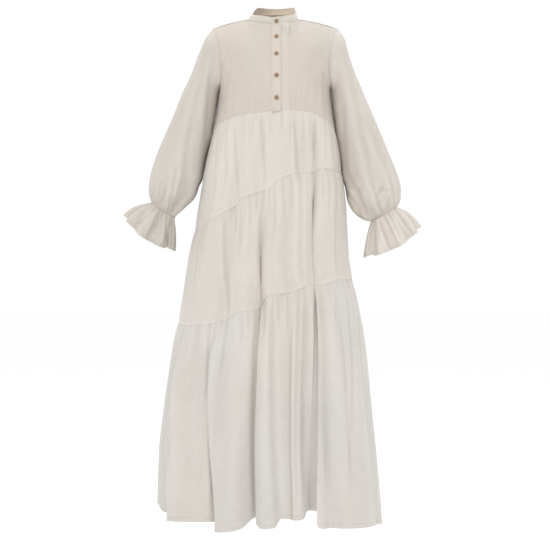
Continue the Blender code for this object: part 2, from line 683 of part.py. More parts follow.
def bodice_pieces(material, collection):
    left_angles, right_angles = front_angles()
    fronts = {}
    for side, angles in (("right", left_angles[::-1][::2]), ("left", right_angles[::2])):
        outer = relaxed(bodice_quarter(side, "front", angles))
        normals = quarter_normals(outer, side, "front", angles)
        fronts[side] = (outer, normals)
        sign = side_sign(side)
        outer[:, 0, 0] += sign * SEAM_GAP / 2
        outer[:, -1, 1] -= SEAM_GAP / 2
        outer[0, :, 1] -= shoulder_share(outer.shape[1], both_ends=False) * SEAM_GAP / 2
        inner = outer - CLOTH * normals
        order = slice(None, None, int(sign))
        make_wall(f"bodice_front_{side}", outer[:, order], inner[:, order], material, collection)
    right_back, left_back = back_angles()
    near_angles = right_back[::-1][::2]
    far_angles = left_back[::2]
    near = bodice_quarter("left", "back", near_angles)
    far = bodice_quarter("right", "back", far_angles)
    outer = relaxed(np.concatenate([near[:, ::-1], far[:, 1:]], axis=1))
    middle = len(near_angles) - 1
    near_normals = quarter_normals(outer[:, middle::-1], "left", "back", near_angles)
    far_normals = quarter_normals(outer[:, middle:], "right", "back", far_angles)
    normals = np.concatenate([near_normals[:, ::-1], far_normals[:, 1:]], axis=1)
    outer[:, 0, 1] += SEAM_GAP / 2
    outer[:, -1, 1] += SEAM_GAP / 2
    outer[0, :, 1] += shoulder_share(outer.shape[1], both_ends=True) * SEAM_GAP / 2
    make_wall("bodice_back", outer, outer - CLOTH * normals, material, collection)
    return fronts


def shoulder_share(columns, both_ends):
    """One along the shoulder seam, nought along the neck."""
    share = np.zeros(columns)
    share[-(SIDE_STEPS // 2) - 1 : -1] = 1
    if both_ends:
        share[1 : SIDE_STEPS // 2 + 1] = 1
    return share


def collar_band(material, collection):
    back = np.linspace(90, 270, BACK_STEPS // 2 + 1)[1:-1]
    right = 360 + neck_front_angles("right")[::-1]
    angles = np.concatenate([neck_front_angles("left"), back, right])
    lift = np.array([0, 0, SEAM_GAP])
    foot = neck_point(angles) + lift
    top = collar_top_point(angles)
    middle = (foot + top) / 2
    outer = np.stack([top, middle, foot])
    normals = sheet_normals(outer, np.array([NECK_MIDDLE_X, NECK_MIDDLE_Y, 0.0]) + outer * (0, 0, 1))
    normals[-1, :, 2] = 0
    normals = unit(normals)
    inner = outer - CLOTH * normals
    for sheet in (outer, inner):
        sheet[:, 0, 0] += SEAM_GAP
        sheet[:, -1, 0] -= SEAM_GAP
    make_wall("collar_band", outer, inner, material, collection)
    return outer, normals


def placket_strip(fronts, collar, material, collection):
    """Strip made from the points of the fronts and collar, moved out."""
    collar_outer, collar_normals = collar
    lines = []
    for side, body_column, collar_column in (("right", 1, -2), ("left", 0, 0), ("left", 1, 1)):
        body, body_normals = fronts[side]
        lines.append(
            join_line(
                collar_outer[:, collar_column],
                collar_normals[:, collar_column],
                body[:, body_column],
                body_normals[:, body_column],
            )
        )
    under = np.stack([line[0] for line in lines], axis=1)
    normals = np.stack([line[1] for line in lines], axis=1)
    inner = under + normals * SEAM_GAP
    outer = under + normals * (SEAM_GAP + PLACKET_WALL)
    make_wall("placket", outer, inner, material, collection)
    return outer


def join_line(neck, neck_normals, body, body_normals):
    """One long edge of the placket: collar, front, and a foot past the yoke seam."""
    foot = body[-1] + np.array([0, -0.0016, -PLACKET_FOOT])
    points = np.concatenate([neck[:2], (neck[2:] + body[:1]) / 2, body[1:], foot[None]])
    bend = unit(neck_normals[2:] + body_normals[:1])
    normals = np.concatenate([neck_normals[:2], bend, body_normals[1:], body_normals[-1:]])
    return points, normals


def place_buttons(placket, material, collection):
    line = placket[::-1, 1]
    for number, height in enumerate(BUTTON_HEIGHTS, start=1):
        heights = height + np.linspace(-1, 1, 9) * BUTTON_RADIUS
        depths = np.interp(heights, line[:, 2], line[:, 1])
        slope = (depths[-1] - depths[0]) / (heights[-1] - heights[0])
        out = Vector((0, -1, slope)).normalized()
        proud = (depths - depths[4]) * out.y + (heights - height) * out.z
        away = SEAM_GAP + BUTTON_THICKNESS / 2 + proud.max()
        centre = Vector((PLACKET_MIDDLE_X, depths[4], height)) + out * away
        bpy.ops.mesh.primitive_cylinder_add(
            vertices=BUTTON_SIDES, radius=BUTTON_RADIUS, depth=BUTTON_THICKNESS
        )
        button = bpy.context.active_object
        button.name = f"button_{number}"
        button.data.name = button.name
        turn = out.to_track_quat("Z", "X").to_matrix().to_4x4()
        button.data.transform(Matrix.Translation(centre) @ turn)
        bevel = button.modifiers.new("rounded rim", "BEVEL")
        bevel.width = BUTTON_EDGE
        bevel.segments = 1
        bevel.limit_method = "ANGLE"
        button.data.shade_smooth()
        button.data.set_sharp_from_angle(angle=math.radians(50))
        button.data.materials.append(material)
        for owner in list(button.users_collection):
            owner.objects.unlink(button)
        collection.objects.link(button)


def ring_points(values, around):
    """Oval ring between an outer and an inner edge point, with its own half depth."""
    ring = dict(zip(SLEEVE_COLUMNS, values))
    outer = np.array([ring["outer_x"], 0.0, ring["outer_z"]])
    inner = np.array([ring["inner_x"], 0.0, ring["inner_z"]])
    middle = (outer + inner) / 2 + np.array([0, ring["middle_y"], 0])
    half = (outer - inner) / 2
    turn = np.radians(around)[:, None]
    deep = np.array([0, -ring["depth"], 0])
    return middle + half * np.cos(turn) + deep * np.sin(turn), middle


def ring_normals(values, around):
    """Directions out of an oval ring, lying in the ring's own plane."""
    ring = dict(zip(SLEEVE_COLUMNS, values))
    half = np.array([ring["outer_x"] - ring["inner_x"], 0.0, ring["outer_z"] - ring["inner_z"]]) / 2
    width = np.linalg.norm(half)
    turn = np.radians(around)[:, None]
    deep = np.array([0, -1.0, 0])
    return unit(half / width * np.cos(turn) / width + deep * np.sin(turn) / ring["depth"])


def ring_axis(values):
    """Direction down the sleeve, square to the ring's plane."""
    ring = dict(zip(SLEEVE_COLUMNS, values))
    across = np.array([ring["outer_x"] - ring["inner_x"], 0.0, ring["outer_z"] - ring["inner_z"]])
    axis = np.array([across[2], 0.0, -across[0]])
    return unit(axis if axis[2] < 0 else -axis)


def closed_normals(rings, middles):
    """Normals of a tube's grid, whose columns close on themselves."""
    wrapped = np.concatenate([rings[:, -1:], rings, rings[:, :1]], axis=1)
    down = np.gradient(wrapped, axis=0)
    along = np.gradient(wrapped, axis=1)
    normals = unit(np.cross(down, along))[:, 1:-1]
    facing = np.sum(normals * (rings - middles), axis=-1, keepdims=True)
    return np.where(facing < 0, -normals, normals)


def sleeve_tube(side, material, collection):
    sign = side_sign(side)
    front = armhole_path(side, "front")
    back = armhole_path(side, "back")[::-1]
    loop = np.concatenate([front[:-1], back[:-1]])
    normals = armhole_normals(loop, side)
    apart = np.array([sign, 0, 0.0]) * SEAM_GAP
    lift = np.clip(-normals[:, 2:3], 0, 1) * np.array([0, 0, SEAM_GAP])
    loop = loop + apart + lift
    between = (loop + np.roll(loop, -1, axis=0)) / 2
    between_normals = normals + np.roll(normals, -1, axis=0)
    count = 2 * len(loop)
    first = np.empty((count, 3))
    first[0::2] = loop
    first[1::2] = between
    first_normals = np.empty((count, 3))
    first_normals[0::2] = normals
    first_normals[1::2] = between_normals / 2
    around = np.arange(count) * 360 / count
    rings = [first]
    middles = [first.mean(axis=0)]
    for values, depth in zip(SLEEVES[side], PUFF_WAVE_DEPTHS):
        ring, middle = ring_points(values, around)
        wave = depth * np.cos(np.radians(around) * PUFF_WAVES)[:, None]
        rings.append(ring + wave * ring_normals(values, around))
        middles.append(middle)
    last = RUFFLES[side][0]
    ring, middle = ring_points(last, around)
    rings.append(ring - ring_axis(last) * SEAM_GAP)
    middles.append(middle)
    outer = np.stack(rings)
    out = closed_normals(outer, np.stack(middles)[:, None])
    out[0] = first_normals
    out[-1] = ring_normals(last, around)
    inner = outer - CLOTH * out
    make_wall(f"sleeve_{side}", outer, inner, material, collection, closed=True)


def cuff_ruffle(side, material, collection):
    around = np.arange(RUFFLE_STEPS) * 360 / RUFFLE_STEPS
    rings = []
    middles = []
    turn = np.radians(around)
    for values, depth, drop in zip(RUFFLES[side], RUFFLE_WAVE_DEPTHS, RUFFLE_DROPS):
        ring, middle = ring_points(values, around)
        ring = ring + ring_axis(values) * drop * (np.abs(np.sin(turn)) ** 1.5)[:, None]
        uneven = RUFFLE_WAVES * turn + 0.7 * np.sin(2 * turn)
        wave = depth * (np.cos(uneven) + 0.25 * np.cos(3 * turn + 1))[:, None]
        rings.append(ring + wave * ring_normals(values, around))
        middles.append(middle)
    outer = np.stack(rings)
    out = closed_normals(outer, np.stack(middles)[:, None])
    out[0] = ring_normals(RUFFLES[side][0], around)
    inner = outer - CLOTH * out
    make_wall(f"cuff_ruffle_{side}", outer, inner, material, collection, closed=True)


def skirt_tiers(material, collection):
    seams = {
        "tier_1": (YOKE_SEAM, UPPER_SEAM),
        "tier_2": (UPPER_SEAM, LOWER_SEAM),
        "tier_3": (LOWER_SEAM, HEM),
    }
    left, right = front_angles()
    front = np.concatenate([left, right[1:]])
    right_back, left_back = back_angles()
    back = np.concatenate([right_back, left_back[1:]])
    for tier, (upper, lower) in seams.items():
        for face, angles in (("front", front), ("back", back)):
            match_top = tier == "tier_1"
            outer, inner = tier_wall(angles, upper, lower, TIER_ROWS[tier], match_top)
            make_wall(f"{tier}_{face}", outer, inner, material, collection)


def main():
    clear_scene()
    dress = bpy.data.collections.new("tiered_dress")
    bpy.context.scene.collection.children.link(dress)
    gauze = make_material("gauze", COLOURS["gauze"], 0.9)
    collar_gauze = make_material("collar_gauze", COLOURS["collar_gauze"], 0.9)
    wood = make_material("button_wood", COLOURS["button_wood"], 0.45)
    fronts = bodice_pieces(gauze, dress)
    collar = collar_band(collar_gauze, dress)
    placket = placket_strip(fronts, collar, collar_gauze, dress)
    place_buttons(placket, wood, dress)
    for side in ("left", "right"):
        sleeve_tube(side, gauze, dress)
        cuff_ruffle(side, gauze, dress)
    skirt_tiers(gauze, dress)


main()
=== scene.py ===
import math

import bpy
import numpy as np
from mathutils import Matrix, Vector


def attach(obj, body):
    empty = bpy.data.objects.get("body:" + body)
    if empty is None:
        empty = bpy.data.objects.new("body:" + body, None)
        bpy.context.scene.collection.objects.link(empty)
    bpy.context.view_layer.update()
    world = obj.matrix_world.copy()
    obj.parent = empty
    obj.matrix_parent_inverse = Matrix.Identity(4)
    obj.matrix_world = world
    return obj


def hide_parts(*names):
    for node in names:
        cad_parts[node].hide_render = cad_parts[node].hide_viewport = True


# Tiered dress in crinkled gauze. Metres, +X to the viewer's right, the front faces -Y, +Z up.
# Angles round the body: 0 centre front, 90 the viewer's right, -90 the viewer's left, 180 back.

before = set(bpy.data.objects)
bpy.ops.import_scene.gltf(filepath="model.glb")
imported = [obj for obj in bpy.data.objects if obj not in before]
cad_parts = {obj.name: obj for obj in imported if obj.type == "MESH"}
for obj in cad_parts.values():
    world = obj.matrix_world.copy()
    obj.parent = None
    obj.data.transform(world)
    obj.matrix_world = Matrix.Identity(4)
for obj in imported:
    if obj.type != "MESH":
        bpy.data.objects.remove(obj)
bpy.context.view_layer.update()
print("frame loaded")

cloth = {"thickness": 0.0010, "hemThickness": 0.0017}

# Body sections: height, left edge, right edge, front depth, back depth
bodySections = np.array([
    (-0.215, -0.170, 0.1680, 0.1410, 0.112), (-0.285, -0.179, 0.1745, 0.1430, 0.112),
    (-0.345, -0.187, 0.1805, 0.1460, 0.116), (-0.430, -0.204, 0.1925, 0.1530, 0.126),
    (-0.510, -0.2165, 0.2030, 0.1590, 0.135), (-0.690, -0.2500, 0.2135, 0.1750, 0.155),
    (-0.840, -0.2745, 0.2430, 0.1880, 0.172), (-0.990, -0.3040, 0.2655, 0.2000, 0.184),
    (-1.140, -0.3265, 0.2800, 0.2100, 0.194), (-1.290, -0.3435, 0.2960, 0.2150, 0.200),
    (-1.510, -0.3500, 0.3140, 0.2180, 0.204)])
sectionSquareness = 0.82

# Seams round the body: angle, height
yokeSeam = np.array([
    (-90, -0.345), (-62, -0.318), (-32, -0.299), (-13, -0.294), (5, -0.286), (33, -0.290),
    (52, -0.305), (72, -0.328), (90, -0.345), (130, -0.338), (180, -0.332), (230, -0.338),
    (270, -0.345)])
upperSeam = np.array([
    (-90, -0.632), (-62, -0.620), (-54, -0.602), (-42, -0.587), (-29, -0.560), (-25, -0.542),
    (-11, -0.525), (-3, -0.513), (3, -0.490), (20, -0.4685), (35, -0.4645), (43, -0.454),
    (80, -0.463), (90, -0.466), (130, -0.505), (180, -0.552), (230, -0.602), (270, -0.632)])
lowerSeam = np.array([
    (-90, -0.905), (-62, -0.911), (-42, -0.906), (-29, -0.893), (-20, -0.868), (-10, -0.864),
    (-5, -0.849), (-1, -0.823), (14, -0.813), (20, -0.804), (25, -0.788), (35, -0.792),
    (53, -0.777), (90, -0.780), (130, -0.808), (180, -0.848), (230, -0.886), (270, -0.905)])
hemLine = np.array([
    (-90, -1.448), (-80, -1.450), (-70, -1.468), (-50, -1.480), (-29, -1.475),
    (-25, -1.497), (-20, -1.492), (-13, -1.484), (-7, -1.459), (-3, -1.481), (3, -1.481),
    (6, -1.458), (14, -1.465), (18, -1.462), (20, -1.443), (24, -1.443),
    (26, -1.482), (29, -1.488), (45, -1.490), (60, -1.494), (75, -1.501),
    (90, -1.505), (110, -1.500), (140, -1.488), (180, -1.481), (225, -1.483),
    (250, -1.470), (270, -1.450)])

# Folds: angle at the start and foot, width each side in degrees, depth outwards,
# height where the fold starts, is full, begins to fade and ends
mainFolds = np.array([
    (-47, -50, 6, 6, 0.006, -0.31, -0.42, -0.60, -0.72),  # first tier, front
    (-31, -32, 4, 5, -0.009, -0.30, -0.40, -0.56, -0.66),
    (-20, -20, 5, 4, 0.005, -0.30, -0.38, -0.54, -0.62),
    (-11, -10, 4, 3, -0.009, -0.29, -0.40, -0.54, -0.64),
    (4, 5, 7, 6, 0.006, -0.29, -0.40, -0.49, -0.58),
    (22, 23, 4, 4, -0.011, -0.29, -0.38, -0.48, -0.60),
    (30, 31, 4, 3, 0.006, -0.29, -0.38, -0.47, -0.56),
    (38, 38, 3, 4, -0.009, -0.29, -0.38, -0.47, -0.58),
    (54, 56, 6, 6, 0.006, -0.31, -0.40, -0.48, -0.60),
    (-50, -52, 7, 6, 0.012, -0.60, -0.76, -0.91, -1.05),  # second tier, front
    (-31, -30, 5, 4, -0.014, -0.57, -0.74, -0.90, -1.02),
    (-17, -17, 6, 5, 0.011, -0.54, -0.72, -0.87, -1.02),
    (-5, -5, 4, 3, -0.016, -0.52, -0.76, -0.86, -1.00),
    (4, 4, 3, 5, 0.012, -0.50, -0.68, -0.82, -0.95),
    (14, 13, 3, 3, -0.008, -0.47, -0.60, -0.80, -0.92),
    (24, 23, 4, 4, 0.010, -0.46, -0.60, -0.79, -0.90),
    (34, 34, 3, 3, -0.012, -0.45, -0.56, -0.79, -0.92),
    (48, 50, 8, 8, 0.012, -0.45, -0.60, -0.78, -0.92),
    (-58, -62, 10, 10, 0.010, -0.90, -1.15, -1.60, -1.70),  # third tier, front
    (-44, -45, 10, 10, -0.022, -0.92, -1.49, -1.60, -1.70),
    (-24, -28, 4, 3, -0.012, -0.88, -1.10, -1.60, -1.70),
    (-14, -18, 5, 6, 0.031, -0.87, -1.49, -1.60, -1.70),
    (-6, -8, 4, 3, -0.010, -0.85, -1.40, -1.60, -1.70),
    (-1, -1, 4, 4, 0.024, -0.83, -1.40, -1.60, -1.70),
    (12, 11, 5, 5, -0.014, -0.82, -1.30, -1.60, -1.70),
    (22, 21, 4, 3, -0.027, -0.79, -1.35, -1.60, -1.70),
    (33, 33, 3, 4, -0.014, -0.79, -1.20, -1.60, -1.70),
    (46, 48, 12, 14, 0.022, -0.79, -1.30, -1.60, -1.70),
    (72, 74, 6, 6, -0.012, -0.80, -1.20, -1.60, -1.70),
    (112, 112, 8, 8, -0.007, -0.35, -0.44, -0.52, -0.64),  # first tier, back
    (131, 130, 6, 6, 0.008, -0.34, -0.44, -0.54, -0.66),
    (147, 148, 5, 6, -0.009, -0.34, -0.42, -0.54, -0.68),
    (166, 165, 6, 6, 0.009, -0.34, -0.44, -0.55, -0.68),
    (182, 183, 5, 5, -0.010, -0.34, -0.42, -0.56, -0.68),
    (199, 198, 6, 6, 0.008, -0.34, -0.44, -0.58, -0.70),
    (217, 218, 6, 5, -0.009, -0.34, -0.44, -0.60, -0.72),
    (238, 240, 8, 7, 0.008, -0.35, -0.45, -0.61, -0.74),
    (120, 121, 7, 6, 0.013, -0.49, -0.66, -0.80, -0.95),  # second tier, back
    (136, 137, 5, 6, -0.018, -0.51, -0.68, -0.82, -0.96),
    (155, 155, 6, 6, 0.014, -0.53, -0.70, -0.83, -0.98),
    (173, 172, 6, 5, -0.020, -0.55, -0.70, -0.85, -1.00),
    (190, 191, 6, 6, 0.015, -0.56, -0.72, -0.87, -1.00),
    (208, 209, 5, 6, -0.019, -0.58, -0.74, -0.88, -1.02),
    (229, 228, 8, 7, 0.014, -0.60, -0.76, -0.89, -1.04),
    (110, 110, 8, 8, 0.016, -0.80, -1.20, -1.60, -1.70),  # third tier, back
    (127, 126, 6, 5, -0.034, -0.81, -1.40, -1.60, -1.70),
    (141, 142, 6, 6, 0.034, -0.82, -1.40, -1.60, -1.70),
    (156, 157, 5, 5, -0.044, -0.83, -1.42, -1.60, -1.70),
    (170, 172, 6, 6, 0.036, -0.84, -1.40, -1.60, -1.70),
    (187, 187, 5, 6, -0.040, -0.85, -1.40, -1.60, -1.70),
    (203, 202, 6, 6, 0.034, -0.86, -1.40, -1.60, -1.70),
    (219, 218, 6, 5, -0.040, -0.87, -1.42, -1.60, -1.70),
    (236, 238, 8, 8, 0.026, -0.88, -1.30, -1.60, -1.70)])

# The same columns for the small creases that run down from each gathered seam
smallFolds = np.array([
    (-65, -52, 1.6, 2.2, -0.0022, -0.335, -0.38, -0.50, -0.57),  # first tier, front
    (-50, -41, 1.4, 1.8, -0.0018, -0.325, -0.36, -0.46, -0.53),
    (-39, -30, 1.2, 1.8, -0.0030, -0.322, -0.37, -0.50, -0.56),
    (-24.7, -21.6, 1.2, 1.4, -0.0022, -0.300, -0.32, -0.36, -0.41),
    (-20.8, -19.2, 1.0, 1.2, -0.0020, -0.298, -0.315, -0.345, -0.385),
    (-13.1, -7.5, 1.3, 2.0, -0.0032, -0.297, -0.35, -0.47, -0.53),
    (-3.8, -3.6, 1.0, 1.2, -0.0018, -0.296, -0.31, -0.34, -0.38),
    (6.4, 6.5, 1.0, 1.3, -0.0018, -0.290, -0.305, -0.335, -0.37),
    (14.9, 14.4, 1.0, 1.2, -0.0024, -0.288, -0.31, -0.37, -0.41),
    (17.8, 20.1, 1.2, 2.0, -0.0036, -0.288, -0.34, -0.44, -0.49),
    (27.3, 26.5, 1.0, 1.3, -0.0022, -0.290, -0.31, -0.35, -0.40),
    (36, 34.8, 1.0, 1.2, -0.0022, -0.292, -0.31, -0.35, -0.38),
    (41.2, 36.2, 1.0, 2.2, -0.0042, -0.298, -0.34, -0.43, -0.47),
    (54.7, 49.7, 1.4, 1.6, -0.0022, -0.305, -0.34, -0.40, -0.45),
    (68, 63, 1.6, 1.8, -0.0022, -0.325, -0.36, -0.41, -0.47),
    (-66, -60, 1.4, 2.0, -0.0026, -0.615, -0.66, -0.78, -0.88),  # second tier, front
    (-38.1, -28.2, 1.4, 2.2, -0.0040, -0.585, -0.66, -0.85, -0.90),
    (-29.7, -26.6, 1.0, 1.2, -0.0026, -0.562, -0.59, -0.62, -0.67),
    (-25.6, -20.8, 1.0, 1.4, -0.0028, -0.545, -0.58, -0.66, -0.72),
    (-22.5, -20.2, 0.9, 1.1, -0.0022, -0.539, -0.56, -0.59, -0.63),
    (-17.8, -15.4, 1.0, 1.2, -0.0026, -0.533, -0.56, -0.59, -0.63),
    (-13.2, -11.5, 0.9, 1.1, -0.0022, -0.528, -0.55, -0.57, -0.61),
    (-8.6, -5.4, 1.1, 2.4, -0.0075, -0.522, -0.66, -0.84, -0.87),
    (-3.5, -1.6, 0.9, 1.2, -0.0024, -0.514, -0.54, -0.58, -0.63),
    (0.1, 2.7, 1.0, 1.2, -0.0024, -0.500, -0.53, -0.61, -0.67),
    (7, 9.4, 1.0, 1.4, -0.0030, -0.485, -0.52, -0.58, -0.63),
    (14.3, 15, 0.9, 1.2, -0.0024, -0.474, -0.50, -0.55, -0.60),
    (21.8, 20.2, 1.2, 1.8, -0.0036, -0.468, -0.56, -0.74, -0.80),
    (28.1, 27.7, 1.0, 1.2, -0.0024, -0.465, -0.49, -0.52, -0.56),
    (36.5, 31.8, 0.9, 2.6, -0.0085, -0.460, -0.56, -0.76, -0.80),
    (43.2, 41.5, 1.0, 1.3, -0.0024, -0.454, -0.48, -0.53, -0.57),
    (50.1, 46.3, 1.2, 1.5, -0.0026, -0.456, -0.49, -0.56, -0.61),
    (61.2, 51.7, 1.6, 2.4, -0.0040, -0.460, -0.54, -0.70, -0.77),
    (-66, -58, 1.6, 2.4, -0.0050, -0.910, -1.00, -1.28, -1.42),  # third tier, front
    (-40.4, -37.5, 1.2, 1.6, -0.0030, -0.905, -0.96, -1.08, -1.18),
    (-35.3, -30.4, 1.4, 2.2, -0.0070, -0.900, -1.04, -1.36, -1.46),
    (-28.7, -26.1, 1.0, 1.4, -0.0030, -0.892, -0.93, -1.00, -1.07),
    (-17.9, -15.9, 1.0, 1.2, -0.0028, -0.868, -0.89, -0.93, -0.98),
    (-14.1, -12, 0.9, 1.1, -0.0026, -0.866, -0.89, -0.92, -0.97),
    (-9.2, -6.9, 1.2, 1.8, -0.0050, -0.860, -0.94, -1.40, -1.52),
    (-3, -2.3, 0.9, 1.2, -0.0028, -0.836, -0.86, -0.90, -0.95),
    (0.9, 3.9, 1.1, 1.8, -0.0045, -0.820, -0.92, -1.40, -1.52),
    (5.4, 5.2, 0.9, 1.1, -0.0026, -0.818, -0.84, -0.88, -0.93),
    (11.3, 11.1, 1.0, 1.3, -0.0028, -0.814, -0.84, -0.90, -0.95),
    (18.1, 14.8, 1.1, 1.8, -0.0040, -0.806, -0.90, -1.30, -1.44),
    (22.3, 18.2, 1.1, 1.8, -0.0040, -0.798, -0.90, -1.30, -1.44),
    (29.1, 22.2, 1.0, 2.0, -0.0070, -0.790, -0.92, -1.40, -1.52),
    (36, 32.8, 1.4, 2.4, -0.0050, -0.790, -0.94, -1.30, -1.42),
    (48.2, 44.3, 1.2, 1.6, -0.0028, -0.780, -0.82, -0.88, -0.93),
    (59, 45.6, 1.6, 2.4, -0.0040, -0.780, -0.90, -1.25, -1.42),
    (78, 72, 1.6, 2.0, -0.0030, -0.780, -0.86, -1.00, -1.20),
    (104, 106, 1.4, 1.8, -0.0024, -0.345, -0.38, -0.44, -0.50),  # first tier, back
    (121, 123, 1.2, 1.6, -0.0024, -0.342, -0.37, -0.46, -0.53),
    (138, 137, 1.2, 1.4, -0.0022, -0.340, -0.36, -0.42, -0.48),
    (152, 153, 1.0, 1.6, -0.0030, -0.338, -0.38, -0.48, -0.55),
    (160, 159, 1.0, 1.2, -0.0020, -0.336, -0.35, -0.39, -0.44),
    (174, 176, 1.1, 1.6, -0.0028, -0.334, -0.36, -0.47, -0.55),
    (193, 192, 1.0, 1.3, -0.0022, -0.336, -0.35, -0.41, -0.46),
    (206, 208, 1.1, 1.8, -0.0030, -0.338, -0.38, -0.50, -0.58),
    (226, 225, 1.2, 1.4, -0.0022, -0.342, -0.36, -0.43, -0.50),
    (249, 252, 1.4, 1.8, -0.0024, -0.345, -0.38, -0.50, -0.60),
    (101, 103, 1.4, 1.8, -0.0028, -0.480, -0.52, -0.62, -0.70),  # second tier, back
    (127, 129, 1.1, 2.0, -0.0045, -0.505, -0.60, -0.74, -0.82),
    (144, 144, 1.0, 1.2, -0.0024, -0.520, -0.55, -0.60, -0.66),
    (149, 151, 1.0, 1.3, -0.0024, -0.525, -0.55, -0.63, -0.70),
    (164, 166, 1.1, 2.2, -0.0060, -0.538, -0.62, -0.78, -0.86),
    (179, 178, 1.0, 1.2, -0.0024, -0.550, -0.57, -0.62, -0.68),
    (184, 186, 1.0, 1.4, -0.0026, -0.556, -0.58, -0.66, -0.74),
    (199, 201, 1.1, 2.2, -0.0060, -0.570, -0.64, -0.80, -0.88),
    (217, 216, 1.0, 1.3, -0.0024, -0.588, -0.61, -0.66, -0.72),
    (240, 242, 1.2, 2.0, -0.0040, -0.610, -0.67, -0.80, -0.90),
    (258, 257, 1.4, 1.6, -0.0026, -0.625, -0.66, -0.74, -0.82),
    (98, 100, 1.6, 2.2, -0.0040, -0.785, -0.90, -1.20, -1.40),  # third tier, back
    (118, 117, 1.2, 1.8, -0.0040, -0.800, -0.88, -1.10, -1.30),
    (134, 134, 1.1, 1.8, -0.0050, -0.812, -0.90, -1.36, -1.50),
    (146, 147, 1.0, 1.3, -0.0028, -0.820, -0.84, -0.92, -1.00),
    (151, 150, 1.1, 1.6, -0.0040, -0.825, -0.90, -1.20, -1.40),
    (163, 164, 1.1, 1.8, -0.0050, -0.835, -0.92, -1.40, -1.52),
    (177, 177, 1.0, 1.3, -0.0028, -0.846, -0.87, -0.94, -1.02),
    (181, 180, 1.1, 1.8, -0.0045, -0.850, -0.94, -1.30, -1.46),
    (195, 194, 1.1, 1.8, -0.0050, -0.860, -0.94, -1.40, -1.52),
    (211, 211, 1.1, 1.6, -0.0040, -0.872, -0.94, -1.20, -1.40),
    (227, 228, 1.1, 2.0, -0.0050, -0.884, -0.96, -1.36, -1.50),
    (246, 247, 1.2, 1.6, -0.0030, -0.895, -0.93, -1.05, -1.20),
    (259, 260, 1.6, 2.2, -0.0050, -0.900, -0.98, -1.30, -1.44)])

# Laps, where cloth on the right of a line lies over cloth on its left: angle at the start and foot, rise,
# lap, reach each way along the cloth, height where the lap starts, is full, begins to fade and ends, and how
# much shorter the cloth beneath is at the hem
laps = np.array([
    (-66.0, -57.5, 0.010, 0.012, 0.060, -0.905, -1.08, -1.60, -1.70, 0.026),
    (-36.0, -26.0, 0.010, 0.012, 0.050, -0.900, -1.02, -1.60, -1.70, 0.006),
    (-5.4, -5.6, 0.005, 0.006, 0.035, -0.600, -0.84, -1.60, -1.70, 0.006),
    (35.9, 25.2, 0.006, 0.010, 0.050, -0.500, -0.66, -1.60, -1.70, 0.004),
    (13.5, 12.0, 0.004, 0.003, 0.030, -0.830, -1.00, -1.60, -1.70, 0.0),
    (47.0, 44.0, 0.004, 0.002, 0.040, -0.800, -0.95, -1.30, -1.45, 0.0),
    (124, 122, 0.008, 0.008, 0.050, -0.560, -0.80, -1.60, -1.70, 0.006),
    (160, 162, 0.009, 0.011, 0.050, -0.600, -0.86, -1.60, -1.70, 0.008),
    (196, 194, 0.008, 0.010, 0.050, -0.860, -1.02, -1.60, -1.70, 0.008),
    (226, 229, 0.009, 0.011, 0.055, -0.640, -0.90, -1.60, -1.70, 0.008)])
# tone, shadeReach, shadeWiden and shadeDeepen: painted shade beside each lap, wider and deeper where the
# cloth beneath is shorter
lapShape = {"edge": 0.007, "under": 0.7, "footHeight": -1.45,
            "tone": 0.27, "shadeReach": 0.006, "shadeWiden": 1.8, "shadeDeepen": 80}

tierSwell = {"depth": 0.006, "reach": 0.045}
seamWaver = {"depth": 0.0016, "pitch": 2.1, "seed": 5, "calm": 8}  # pitch and calm ends in degrees
gatherSizes = ((1.0, 0.45, 0.30), (2.1, 0.75, 0.75), (4.4, 0.90, 1.9))  # pitch, share, reach
# Crinkle sizes: across, down, depth
crinkleSizes = ((0.011, 0.034, 0.00022), (0.026, 0.075, 0.00045), (0.060, 0.16, 0.0008))


def smoothCurve(at, xs, ys):  # cubic through the points that never overshoots them
    at = np.clip(np.asarray(at, float), xs[0], xs[-1])
    steps = np.diff(xs)
    slopes = np.diff(ys) / steps
    tangents = np.zeros(len(ys))
    same = slopes[:-1] * slopes[1:] > 0
    both = np.where(same, slopes[:-1] + slopes[1:], 1)
    tangents[1:-1] = np.where(same, 2 * slopes[:-1] * slopes[1:] / both, 0)
    tangents[0], tangents[-1] = slopes[0], slopes[-1]
    i = np.clip(np.searchsorted(xs, at, side="right") - 1, 0, len(steps) - 1)
    t = (at - xs[i]) / steps[i]
    return (ys[i] * (1 + 2 * t) * (1 - t) ** 2 + ys[i + 1] * t * t * (3 - 2 * t)
            + steps[i] * (tangents[i] * t * (1 - t) ** 2 + tangents[i + 1] * t * t * (t - 1)))


def pathThrough(points, count):  # points spaced evenly along a smooth curve
    points = np.asarray(points, float)
    lengths = np.r_[0, np.cumsum(np.linalg.norm(np.diff(points, axis=0), axis=1))]
    at = np.linspace(0, lengths[-1], count)
    return np.stack([smoothCurve(at, lengths, points[:, k]) for k in range(3)], axis=1)


def refine(grid, count, axis):  # Catmull-Rom curve through every point along one axis
    grid = np.moveaxis(grid, axis, 0)
    padded = np.concatenate([2 * grid[:1] - grid[1:2], grid, 2 * grid[-1:] - grid[-2:-1]])
    at = np.linspace(0, len(grid) - 1, count)
    i = np.minimum(at.astype(int), len(padded) - 4)
    t = (at - i).reshape(-1, *([1] * (grid.ndim - 1)))
    a, b, c, d = (padded[i + k] for k in range(4))
    out = b + 0.5 * t * (c - a + t * (2 * a - 5 * b + 4 * c - d + t * (3 * (b - c) + d - a)))
    return np.moveaxis(out, 0, axis)


def spread(values, count):  # the same uneven spacing with more steps
    return np.interp(np.linspace(0, len(values) - 1, count), np.arange(len(values)), values)


def denseEnds(count, share):  # nought to one, with more steps near both ends
    s = np.linspace(0, 1, count)
    return s - share * np.sin(2 * np.pi * s) / (2 * np.pi)


def unit(vectors):
    return vectors / np.linalg.norm(vectors, axis=-1, keepdims=True)


def smoothStep(x):
    x = np.clip(x, 0, 1)
    return x * x * (3 - 2 * x)


